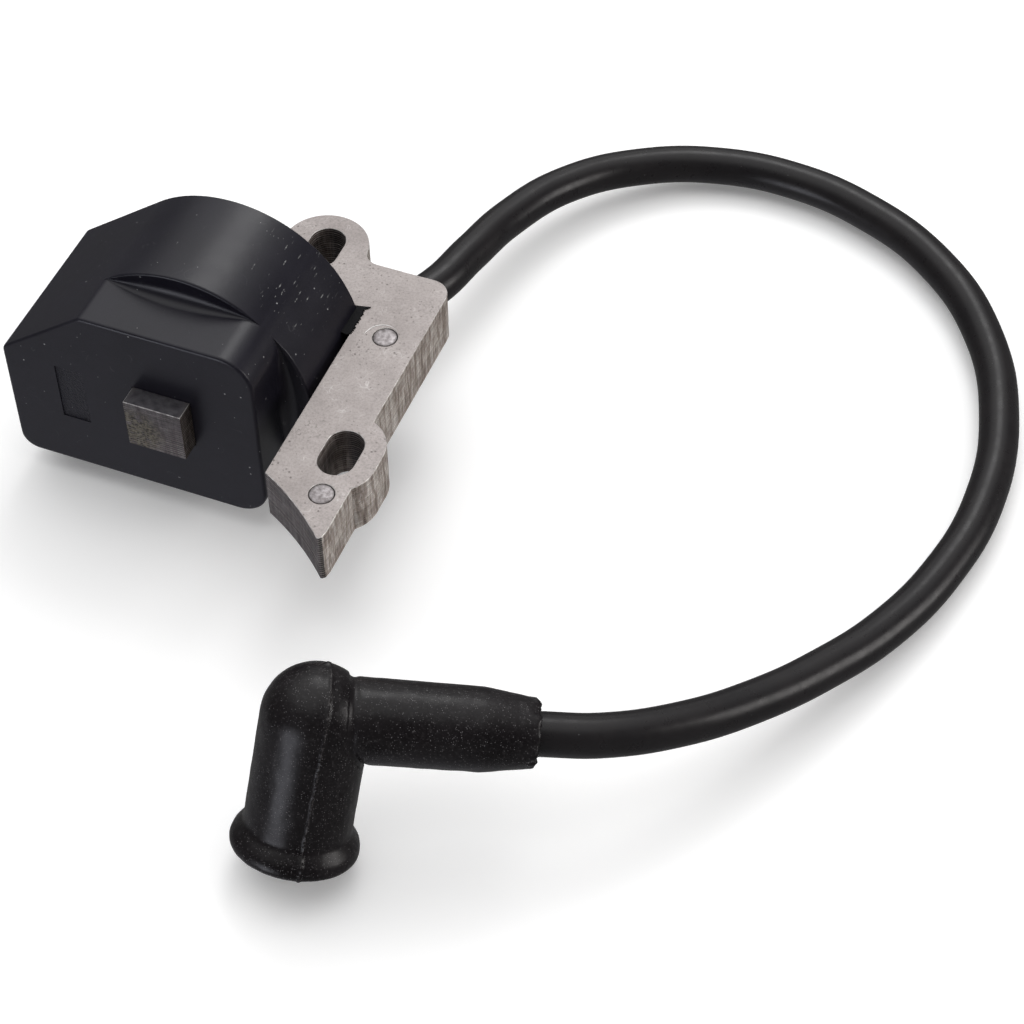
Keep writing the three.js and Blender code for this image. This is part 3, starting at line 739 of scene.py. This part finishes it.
def core_outline():
    """One sheet from above: side bar, both lugs, yoke and coil leg, anticlockwise from the tip."""
    fx, fy, fr = FLYWHEEL
    leg_left = LEG_X - LEG_WIDTH / 2
    leg_right = LEG_X + LEG_WIDTH / 2
    drop = math.sqrt(fr ** 2 - (TIP_X - fx) ** 2)
    tip_y = fy + drop
    lx, ly, lr = FRONT_LUG
    lug_from = -math.degrees(math.acos((TIP_SIDE_X - lx) / lr))
    lug_to = math.degrees(math.acos((BAR_WIDTH - lx) / lr))
    rx, _, rr = REAR_LUG
    fillet_y = YOKE_BACK + REAR_FILLET
    rise = fillet_y - REAR_LUG_ARC_Y
    run = math.sqrt((rr + REAR_FILLET) ** 2 - rise ** 2)
    turn = degrees(run, rise)
    back_left = 2.5
    head = 3.5
    return [
        *arc(fx, fy, fr, degrees(-fx, -fy), degrees(TIP_X - fx, drop), 22),
        (TIP_X + 0.35, tip_y + 0.05),
        (TIP_X + 0.75, tip_y + 0.45),
        (TIP_SIDE_X, tip_y + 1.9),
        *arc(lx, ly - SLOT_REACH, lr, lug_from, 0, 12),
        *arc(lx, ly + SLOT_REACH, lr, 0, lug_to, 18),
        *arc(BAR_WIDTH - head, YOKE_BACK - head, head, 0, 90, 10),
        *arc(rx + run, fillet_y, REAR_FILLET, 270, 180 + turn, 6),
        *arc(rx, REAR_LUG_ARC_Y, rr, turn, 180 - turn, 34)[1:-1],
        *arc(rx - run, fillet_y, REAR_FILLET, -turn, -90, 6),
        *arc(leg_left + back_left, YOKE_BACK - back_left, back_left, 90, 180, 7),
        (leg_left, LEG_FRONT),
        (leg_right, LEG_FRONT),
        (leg_right, YOKE_FRONT - 0.4),
        (leg_right + 0.4, YOKE_FRONT),
        (-0.4, YOKE_FRONT),
        (0, YOKE_FRONT - 0.4),
    ]


def slot_outline(x, y):
    r = SLOT_WIDTH / 2
    return [*arc(x, y + SLOT_REACH, r, 0, 180, 18), *arc(x, y - SLOT_REACH, r, 180, 360, 18)]


def build_core(steel):
    rng = random.Random(7)
    outline = core_outline()
    holes = [slot_outline(x, y) for x, y, _ in (FRONT_LUG, REAR_LUG)]
    holes += [arc(x, y, RIVET_HOLE, 0, 360, 32)[:-1] for x, y in RIVETS.values()]
    stands_for = {1: "lamination_bottom", 2: "lamination_packet", SHEETS: "lamination_top"}
    for number in range(1, SHEETS + 1):
        outer = number in (1, SHEETS)
        slip = 0 if outer else 0.03
        dx, dy = rng.uniform(-slip, slip), rng.uniform(-slip, slip)
        low = -SHEETS * SHEET + (number - 1) * SHEET
        gap, chamfer = (0.0, 0.1) if number == SHEETS else (0.012, 0.055)
        mesh = plate(
            f"sheet_{number:02d}", outline, holes, low, low + SHEET - gap, chamfer,
            place=lambda x, y, z, dx=dx, dy=dy: at(x + dx, y + dy, z),
        )
        nodes = [stands_for[number]] if number in stands_for else []
        piece(f"core_sheet_{number:02d}", mesh, "module", steel, nodes)


def build_rivets():
    """Each riveted end is a slightly domed, hammered disc with a groove round it."""
    material = rivet_material()
    rng = random.Random(21)
    for name, (x, y) in RIVETS.items():
        top = [
            (0, 0.10), (0.8, 0.095), (1.5, 0.075), (1.85, 0.03),
            (1.98, -0.05), (2.0, -0.16), (2.06, -0.22),
        ]
        bottom = [(r, -10 - z) for r, z in reversed(top)]
        profile = top + [(2.1, -0.4), (2.1, -9.6)] + bottom
        mesh = turned(name, profile, 48, axes(at(x, y, 0), (1, 0, 0), (0, 1, 0), (0, 0, 1)))
        seed = rng.uniform(0, 100)
        for vertex in mesh.vertices:
            local = (vertex.co - at(x, y, 0)) / MM
            if local.z > -0.3:
                sway = noise.noise(Vector((local.x * 0.9 + seed, local.y * 0.9, 0)))
                vertex.co.z += sway * 0.035 * MM
        piece(f"{name}_pin", mesh, "module", material, [name], smooth=40)


# ---- coil case ----

def rounded_outline(corners, step):
    """Corners are (x, y, radius), anticlockwise. Returns points with their outward normals."""
    made = []
    count = len(corners)
    spans = []
    for i, (x, y, radius) in enumerate(corners):
        here = Vector((x, y))
        before = Vector(corners[i - 1][:2])
        after = Vector(corners[(i + 1) % count][:2])
        a, b = (before - here).normalized(), (after - here).normalized()
        half = a.angle(b) / 2
        reach = radius / math.tan(half)
        middle = here + (a + b).normalized() * (radius / math.sin(half))
        start, stop = here + a * reach, here + b * reach
        spans.append((middle, start, stop, radius))
    for i, (middle, start, stop, radius) in enumerate(spans):
        first = start - middle
        angle = first.angle_signed(stop - middle)
        steps = max(5, math.ceil(abs(angle) * radius / step * 2))
        for k in range(steps + 1):
            turn = Matrix.Rotation(-angle * k / steps, 2)
            spoke = turn @ first
            made.append((middle + spoke, spoke.normalized()))
        following = spans[(i + 1) % count][1]
        run = following - stop
        pieces_along = max(1, round(run.length / step))
        normal = made[-1][1]
        for k in range(1, pieces_along):
            made.append((stop + run * k / pieces_along, normal))
    return made


def case_columns():
    """The box's outline in X and Z, from the bottom left corner round, with rounded corners."""
    sine, cosine = math.sin(CHAMFER_SLOPE), math.cos(CHAMFER_SLOPE)
    chamfer_x = LEG_X + ((CASE_TOP - LEG_Z) * cosine - DRUM_RADIUS) / sine
    chamfer_z = LEG_Z + (DRUM_RADIUS + (CASE_LEFT - LEG_X) * sine) / cosine
    return rounded_outline([
        (CASE_LEFT, CASE_BOTTOM, 3.2),
        (CASE_RIGHT, CASE_BOTTOM, 5.7),
        (CASE_RIGHT, CASE_TOP, 6.0),
        (chamfer_x, CASE_TOP, 2.0),
        (CASE_LEFT, chamfer_z, 1.8),
    ], 0.8)


def quarter(steps):
    """Pairs of 1 - cosine and 1 - sine over a quarter turn."""
    angles = [math.radians(90 * k / steps) for k in range(steps + 1)]
    return [(1 - math.cos(a), 1 - math.sin(a)) for a in angles]


def case_profile(point, normal, wall):
    """One column of the case from front to back, as (point in X and Z, depth) pairs.

    The box's front edge is rounded, then a fillet and a brim lead up to the drum."""
    spoke = point - Vector((LEG_X, LEG_Z))
    out = spoke.normalized()
    lift = max(0.0, DRUM_RADIUS - spoke.length)
    edge = 0.6
    root = lift * 0.5
    brim = min(0.45, lift * 0.3)
    side = point - normal * wall
    drum = DRUM_FRONT + wall
    rows = [
        (point - normal * (edge * up + wall), CASE_FRONT + edge * back + wall)
        for back, up in quarter(6)
    ]
    rows += [(side, depth) for depth in (11.5, 13.5, 15.5)]
    rows += [(side + out * root * rise, drum - root * back) for rise, back in quarter(5)]
    rows += [(side + out * (lift - brim * fall), drum + brim * back) for back, fall in quarter(5)]
    rows += [(side + out * lift, depth) for depth in (23.0, 28.0, 34.0, CASE_BACK - 0.35)]
    return rows


def case_ring(bm, columns, wall, row=-1, depth=None):
    """Vertices round the case on one row of its profile, at the row's depth or another."""
    made = []
    for point, normal in columns:
        spot, own_depth = case_profile(point, normal, wall)[row]
        made.append(bm.verts.new(at(spot.x, own_depth if depth is None else depth, spot.y)))
    return made


def leg_window(gap):
    """The square opening for the coil leg, in X and Z, wider than the leg by a gap all round."""
    left, right = LEG_X - LEG_WIDTH / 2 - gap, LEG_X + LEG_WIDTH / 2 + gap
    low, high = -SHEETS * SHEET - gap, gap
    return [(left, low), (right, low), (right, high), (left, high)]


def build_case(material):
    bm = bmesh.new()
    columns = case_columns()
    count = len(case_profile(*columns[0], 0.0))
    outer = [case_ring(bm, columns, 0.0, row) for row in range(count)]
    inner = [case_ring(bm, columns, CASE_WALL, row) for row in range(count)]
    lip = [case_ring(bm, columns, wall, depth=CASE_BACK) for wall in (0.35, CASE_WALL - 0.25)]
    walls = outer + lip + inner[::-1]
    for a, b in zip(walls, walls[1:]):
        bridge(bm, a, b)

    window = leg_window(0.15)
    recess = [STAMP_LOW, (STAMP_HIGH[0], STAMP_LOW[1]), STAMP_HIGH, (STAMP_LOW[0], STAMP_HIGH[1])]

    def loop(points, depth):
        return [bm.verts.new(at(x, depth, z)) for x, z in points]

    skirt = []
    for point, normal in columns:
        spot = point - normal * 1.7
        skirt.append(bm.verts.new(at(spot.x, CASE_FRONT, spot.y)))
    bridge(bm, skirt, outer[0])
    mouth, mouth_inside = loop(window, CASE_FRONT), loop(window, CASE_FRONT + CASE_WALL)
    bridge(bm, mouth, mouth_inside)
    rim, floor = loop(recess, CASE_FRONT), loop(recess, CASE_FRONT + STAMP_DEPTH)
    bridge(bm, rim, floor)
    fill(bm, [floor])
    fill(bm, [skirt, mouth, rim])
    fill(bm, [inner[0], mouth_inside])
    mesh = mesh_of(bm, "case_shell")
    shell = piece("case_shell", mesh, "module", material, ["coil_case"], smooth=38)
    shell.modifiers.new("normals", "WEIGHTED_NORMAL").keep_sharp = True
    return shell


# ---- boot ----

def apply_modifiers(obj):
    """The object's evaluated mesh, as a new mesh of its own."""
    graph = bpy.context.evaluated_depsgraph_get()
    return bpy.data.meshes.new_from_object(obj.evaluated_get(graph))


def scratch(mesh):
    made = bpy.data.objects.new("scratch", mesh)
    SCENE.collection.objects.link(made)
    return made


def build_boot(material):
    frame_axes = boot_axes()
    leg_axes = frame_axes @ Matrix.Rotation(LEG_SPLAY, 4, "Y")
    barrel_axes = frame_axes @ Matrix.Rotation(math.pi / 2, 4, "Y")
    foot = -23.3
    skirt = 10.1
    elbow = 8.45
    leg = turned("leg", [
        (0, foot), (skirt - 0.95, foot), (skirt - 0.45, foot + 0.18), (skirt - 0.1, foot + 0.6),
        (skirt, foot + 1.2), (skirt - 0.06, foot + 1.8), (skirt - 0.28, foot + 2.5),
        (skirt - 0.75, foot + 3.2), (8.85, foot + 3.9), (8.5, foot + 4.3), (8.38, foot + 4.9),
        (8.4, foot + 7), (8.42, -8), (elbow, 0), (0, 0),
    ], 96, leg_axes)
    barrel = turned("barrel", [
        (0, 0), (6.6, 0), (6.6, 10), (6.5, 25), (6.35, 26.4), (5.35, 33.3), (5.0, 33.5), (0, 33.5),
    ], 80, barrel_axes)
    ball = turned("ball", [
        (elbow * math.sin(math.pi * k / 24), -elbow * math.cos(math.pi * k / 24)) for k in range(25)
    ], 96, frame_axes)
    bm = bmesh.new()
    for part in (leg, barrel, ball):
        bm.from_mesh(part)
    joined = bpy.data.meshes.new("boot")
    bm.to_mesh(joined)
    bm.free()
    body = scratch(joined)
    remesh = body.modifiers.new("remesh", "REMESH")
    remesh.mode = "VOXEL"
    remesh.voxel_size = 0.32 * MM
    soften = body.modifiers.new("soften", "SMOOTH")
    soften.factor = 0.5
    soften.iterations = 3
    mesh = apply_modifiers(body)
    bpy.data.objects.remove(body)

    back = frame_axes.inverted()
    normals = [vertex.normal.copy() for vertex in mesh.vertices]
    for vertex, normal in zip(mesh.vertices, normals):
        local = (back @ vertex.co) / MM
        x, y, z = local
        push = 0.0
        if x < 9 and y < 3.2:
            wander = 0.16 * noise.noise(Vector((z * 0.45, 3, 0)))
            seam = abs(x - 1.0 - 0.06 * z - wander)
            ridge = 0.24 * (1 + 0.5 * noise.noise(Vector((z * 0.7, 9, 0))))
            push += ridge * math.exp(-(seam / 0.26) ** 2) * min(1, (3.2 - y) / 2)
        nub = (Vector((x, y, z)) - Vector((1.0, 1.6, elbow - 0.15))).length
        push += 0.55 * math.exp(-(nub / 0.5) ** 2)
        push += 0.05 * noise.noise(local * 0.45)
        rise = max(z, 0.0)
        shoulder = abs(x - math.sqrt(max(0.0, elbow ** 2 - y ** 2 - rise ** 2)))
        if x > 3.5 and math.hypot(y, z) < 7.2:
            push -= 0.32 * math.exp(-(shoulder / 0.45) ** 2)
        if x > 31.8:
            ragged = noise.noise(Vector((3, y * 0.9, z * 0.9)))
            ragged += 0.6 * noise.noise(Vector((8, y * 2, z * 2)))
            push += 0.28 * ragged * min(1, (x - 31.8) / 1.2)
        vertex.co += normal * push * MM
    body = scratch(mesh)
    bores = []
    for profile, matrix, segments in (
        ([(0, foot - 1), (6.3, foot - 1), (6.3, -4.5), (4.4, -2.5), (0, -2.5)], leg_axes, 64),
        ([(0, 0), (3.75, 0), (3.75, 34.5), (0, 34.5)], barrel_axes, 48),
    ):
        bore = scratch(turned("bore", profile, segments, matrix))
        cut = body.modifiers.new("bore", "BOOLEAN")
        cut.operation = "DIFFERENCE"
        cut.solver = "MANIFOLD"
        cut.object = bore
        bores.append(bore)
    mesh = apply_modifiers(body)
    bpy.data.objects.remove(body)
    for bore in bores:
        bpy.data.objects.remove(bore)
    name = "boot_rubber_body"
    return piece(name, mesh, "boot", material, ["plug_boot"], smooth=45)


# ---- small pieces ----

def build_clip():
    """The coil spring in the boot's leg, as round wire."""
    data = bpy.data.curves.new("clip", "CURVE")
    data.dimensions = "3D"
    data.bevel_depth = 0.45 * MM
    data.bevel_resolution = 4
    data.use_fill_caps = True
    spline = data.splines.new("POLY")
    matrix = boot_axes() @ Matrix.Rotation(LEG_SPLAY, 4, "Y")
    turns, steps = 4, 28
    places = []
    for k in range(turns * steps + 1):
        t = k / (turns * steps)
        a = 2 * math.pi * turns * t
        r = 2.9 + t
        places.append(matrix @ (Vector((r * math.cos(a), r * math.sin(a), -5.2 - 7.5 * t)) * MM))
    spline.points.add(len(places) - 1)
    for point, place in zip(spline.points, places):
        point.co = (*place, 1)
    curve = scratch(data)
    mesh = apply_modifiers(curve)
    bpy.data.objects.remove(curve)
    mesh.name = "clip_wire"
    return piece("plug_clip_wire", mesh, "boot", spring, ["plug_clip"], smooth=60)


def build_relief(material):
    """A tapered sleeve with flexing grooves, round the lead where it leaves the resin."""
    heading = (Vector(LEAD_ROUTE[1]) - Vector(LEAD_ROUTE[0])).normalized()
    across = Vector((0, 0, 1)).cross(heading)
    matrix = axes(Vector(LEAD_EXIT), across, heading.cross(across), heading)
    bore = LEAD_DIAMETER / MM / 2 + 0.04
    profile = [(bore, -3.4), (4.62, -3.4), (4.7, -3.2), (4.7, 1.0)]
    for k in range(3):
        y = 1.7 + k * 1.5
        r = 4.62 - 0.09 * k * 1.4
        profile += [
            (r, y), (r - 0.45, y + 0.18), (r - 0.5, y + 0.45), (r - 0.45, y + 0.62),
            (r - 0.08, y + 0.8),
        ]
    profile += [(4.2, 6.5), (4.12, 6.8), (3.95, 6.98), (3.7, 7.0), (bore, 6.9)]
    mesh = turned("relief", profile, 56, matrix, closed=True)
    name = "strain_relief_sleeve"
    return piece(name, mesh, "module", material, ["strain_relief"], smooth=35)


def build_blade(material):
    """The stop terminal: a blade with bevelled edges and a dimpled eye, on a narrower tail."""
    x, z = -45.5, -13.5
    outline = [
        (x - 1.9, 34), (x + 1.9, 34), (x + 1.9, 40.1), (x + 2.4, 40.3), (x + 2.4, 46.2),
        (x + 1.4, 47.5), (x - 1.4, 47.5), (x - 2.4, 46.2), (x - 2.4, 40.3), (x - 1.9, 40.1),
    ]
    eye = arc(x, 43.9, 0.8, 0, 360, 28)[:-1]
    mesh = plate("blade", outline, [eye], z - 0.4, z + 0.4, 0.13)
    name = "stop_terminal_blade"
    return piece(name, mesh, "module", material, ["stop_terminal"], smooth=30)


def build_resin_skin(material):
    """The resin's set surface: level in the middle, drawn up where it meets the case's wall."""
    bm = bmesh.new()
    columns = case_columns()

    wall = CASE_WALL + 0.02
    under = RESIN_LEVEL - 0.1
    rings = [case_ring(bm, columns, wall, depth=under)]
    for distance, rise in ((0, 0.30), (0.12, 0.19), (0.35, 0.10), (0.8, 0.04), (1.6, 0.01)):
        rings.append(case_ring(bm, columns, wall + distance, depth=RESIN_LEVEL + rise))
    for a, b in zip(rings, rings[1:]):
        bridge(bm, a, b)
    window = leg_window(0.02)
    levels = (under, RESIN_LEVEL + 0.01)
    holes = [[bm.verts.new(at(x, depth, z)) for x, z in window] for depth in levels]
    bridge(bm, holes[0], holes[1])
    fill(bm, [rings[0], holes[0]])
    fill(bm, [rings[-1], holes[1]])
    mesh = mesh_of(bm, "resin_skin")
    return piece("resin_surface", mesh, "module", material, smooth=50)


def build_flash(material):
    """A ragged web of moulding flash between the drum's back and the side bar's top face."""
    rng = random.Random(11)
    outline = [(-1.5, 33.2), (-0.4, 33.0)]
    y = 33.4
    while y < 39.9:
        reach = 0.08 + 0.25 * noise.noise(Vector((y * 0.6, 4, 0)))
        outline.append((reach + rng.uniform(-0.12, 0.05), y))
        outline.append((reach + rng.uniform(0.05, 0.4), y + rng.uniform(0.1, 0.2)))
        y += rng.uniform(0.3, 0.6)
    outline += [(0.6, 40.05), (0.85, 40.55), (0.2, 40.35), (-1.4, 40.0)]
    mesh = plate("flash", outline, [], 0.005, 0.2, 0.03)
    return piece("case_flash", mesh, "module", material, smooth=30)


def build_sliver(material):
    """A curl of metal raised when the rear rivet was set."""
    x, y = RIVETS["rivet_rear"]
    bm = bmesh.new()
    rings = []
    for k in range(25):
        t = k / 24
        a = math.radians(188 - 128 * t)
        r = 3.7 - 1.25 * t ** 0.7
        width = 0.10 * math.sin(math.pi * min(1, 0.12 + t)) + 0.03
        spoke = Vector((math.cos(a), math.sin(a), 0))
        centre = Vector((x, y, 0.01)) + spoke * r
        ring = []
        for i in range(6):
            b = 2 * math.pi * i / 6
            lift = Vector((0, 0, width * 0.7 * math.sin(b)))
            spot = centre + spoke * (width * math.cos(b)) + lift
            ring.append(bm.verts.new(at(*spot)))
        rings.append(ring)
    for a, b in zip(rings, rings[1:]):
        bridge(bm, a, b)
    bm.faces.new(rings[0])
    bm.faces.new(rings[-1])
    mesh = mesh_of(bm, "sliver")
    return piece("rivet_rear_sliver", mesh, "module", material, smooth=60)


# ---- floor, sky and lights ----

def build_stage():
    """A white floor, wide enough that its edge is never in view."""
    mesh = bpy.data.meshes.new("floor")
    reach = 40.0
    corners = [(x * reach, y * reach, 0) for x, y in ((-1, -1), (1, -1), (1, 1), (-1, 1))]
    mesh.from_pydata(corners, [], [(0, 1, 2, 3)])
    floor = bpy.data.objects.new("floor", mesh)
    SCENE.collection.objects.link(floor)
    floor.location.z = -0.0005
    floor.visible_glossy = False
    g = Graph(
        "floor", Roughness=0.9, Specular_IOR_Level=0.1, Base_Color=(0.95, 0.95, 0.95, 1),
        Emission_Color=(1, 1, 1, 1), Emission_Strength=0.16,
    )
    mesh.materials.append(g.material)


def area_light(name, place, target, size, power, colour=(1, 1, 1)):
    data = bpy.data.lights.new(name, "AREA")
    data.shape = "RECTANGLE"
    data.size, data.size_y = size
    data.energy = power
    data.color = colour
    light = bpy.data.objects.new(name, data)
    SCENE.collection.objects.link(light)
    light.location = place
    light.rotation_euler = (Vector(target) - Vector(place)).to_track_quat("-Z", "Y").to_euler()
    return light


def build_world():
    """A dim sky, bright overhead, with a window at the front left and a glow from the table."""
    world = bpy.data.worlds.new("studio")
    SCENE.world = world
    world.use_nodes = True
    tree = world.node_tree
    background = tree.nodes["Background"]
    where = tree.nodes.new("ShaderNodeTexCoord")
    directions = where.outputs["Generated"]

    def level(axis, *stops):
        """Brightness by the cosine of the angle to an axis; each stop is (cosine, glow)."""
        dot = tree.nodes.new("ShaderNodeVectorMath")
        dot.operation = "DOT_PRODUCT"
        dot.inputs[1].default_value = Vector(axis).normalized()
        tree.links.new(directions, dot.inputs[0])
        half = tree.nodes.new("ShaderNodeMath")
        half.operation = "MULTIPLY_ADD"
        half.inputs[1].default_value = half.inputs[2].default_value = 0.5
        tree.links.new(dot.outputs["Value"], half.inputs[0])
        ramp = tree.nodes.new("ShaderNodeValToRGB")
        while len(ramp.color_ramp.elements) < len(stops):
            ramp.color_ramp.elements.new(0.5)
        for element, (cosine, glow) in zip(ramp.color_ramp.elements, stops):
            element.position = (cosine + 1) / 2
            element.color = (glow, glow, glow, 1)
        tree.links.new(half.outputs[0], ramp.inputs["Fac"])
        return ramp.outputs["Color"]

    sky = level((-0.18, 0.27, 0.945), (-0.3, 0.12), (-0.02, 0.07), (0.6, 0.12), (0.90, 1.05))
    window = level((-0.374, -0.921, -0.03), (0.945, 0.0), (0.975, 1.0))
    table = level((-0.4, -0.57, -0.72), (0.6, 0.0), (0.95, 1.0))
    total = sky
    for glow, strength in ((window, (2.4, 2.45, 2.7)), (table, (0.14, 0.14, 0.16))):
        lit = tree.nodes.new("ShaderNodeVectorMath")
        lit.operation = "MULTIPLY_ADD"
        lit.inputs[1].default_value = strength
        tree.links.new(glow, lit.inputs[0])
        tree.links.new(total, lit.inputs[2])
        total = lit.outputs[0]
    tree.links.new(total, background.inputs["Color"])
    background.inputs["Strength"].default_value = 1.75


def build_lights():
    build_world()
    centre = (0.02, 0.0, 0.01)
    area_light("key", (-0.065, 0.66, 0.84), centre, (0.38, 0.36), 1.95)
    area_light("back", (-0.25, 0.93, 0.32), centre, (0.60, 0.18), 0.30)
    area_light("right", (0.92, 0.23, 0.26), (0.07, 0, 0.01), (0.35, 0.44), 3.4, (1.0, 0.97, 0.95))
    SCENE.view_settings.view_transform = "Standard"


# ---- assembly ----

place_camera()
lead = build_lead()
steel = steel_material("lamination_steel")
black = case_material()
rubber = rubber_material()
build_core(steel)
build_rivets()
build_case(black)
boot = build_boot(rubber)

nodes = frame["nodes"]


def finish_node(name, material):
    """The resin and the parts in it keep their CAD shapes and only take a material."""
    data = nodes[name].data
    data.materials.clear()
    data.materials.append(material)


nylon = plain_material("nylon", (0.50, 0.47, 0.36), (0.68, 0.65, 0.55), 0.4, 0.6)
copper = wound_material("copper_winding", (0.16, 0.04, 0.015), (0.62, 0.22, 0.09), 0.35, 0.9)
tape = wound_material("wound_tape", (0.30, 0.18, 0.04), (0.58, 0.40, 0.12), 0.9, 0.0)
board = plain_material("circuit_board", (0.012, 0.085, 0.035), (0.03, 0.15, 0.06), 0.3, 0.5)
epoxy = plain_material("component_body", (0.010, 0.010, 0.012), (0.022, 0.022, 0.025), 0.35, 0.55)
ceramic = plain_material("component_ceramic", (0.36, 0.20, 0.09), (0.52, 0.34, 0.18), 0.4, 0.6)
brass = metal_material("brass", (0.42, 0.27, 0.09), (0.60, 0.43, 0.18), 0.22, 0.42)
spring = metal_material("spring_steel", (0.45, 0.46, 0.47), (0.66, 0.67, 0.68), 0.15, 0.3)
resin = resin_material()
for material, names in (
    (nylon, ("primary_bobbin", "secondary_bobbin")),
    (copper, ("primary_winding", "trigger_winding")),
    (tape, ("secondary_winding",)),
    (board, ("circuit_board",)),
    (epoxy, ("power_transistor", "control_transistor", "flyback_diode")),
    (ceramic, ("bias_resistor", "timing_capacitor")),
    (brass, ("ground_strap", "lead_contact")),
    (resin, ("potting_resin",)),
):
    for name in names:
        finish_node(name, material)

build_clip()
build_relief(rubber_material("relief_rubber", 0.6))
build_blade(brass)
build_resin_skin(resin)
build_flash(plain_material(
    "flash_plastic", (0.003, 0.003, 0.004), (0.006, 0.006, 0.007), 0.6, 0.8, specular=0.12,
))
build_sliver(metal_material(
    "bright_steel", (0.45, 0.44, 0.43), (0.62, 0.60, 0.59), 0.3, 0.45, metallic=0.7,
))
build_stage()
build_lights()
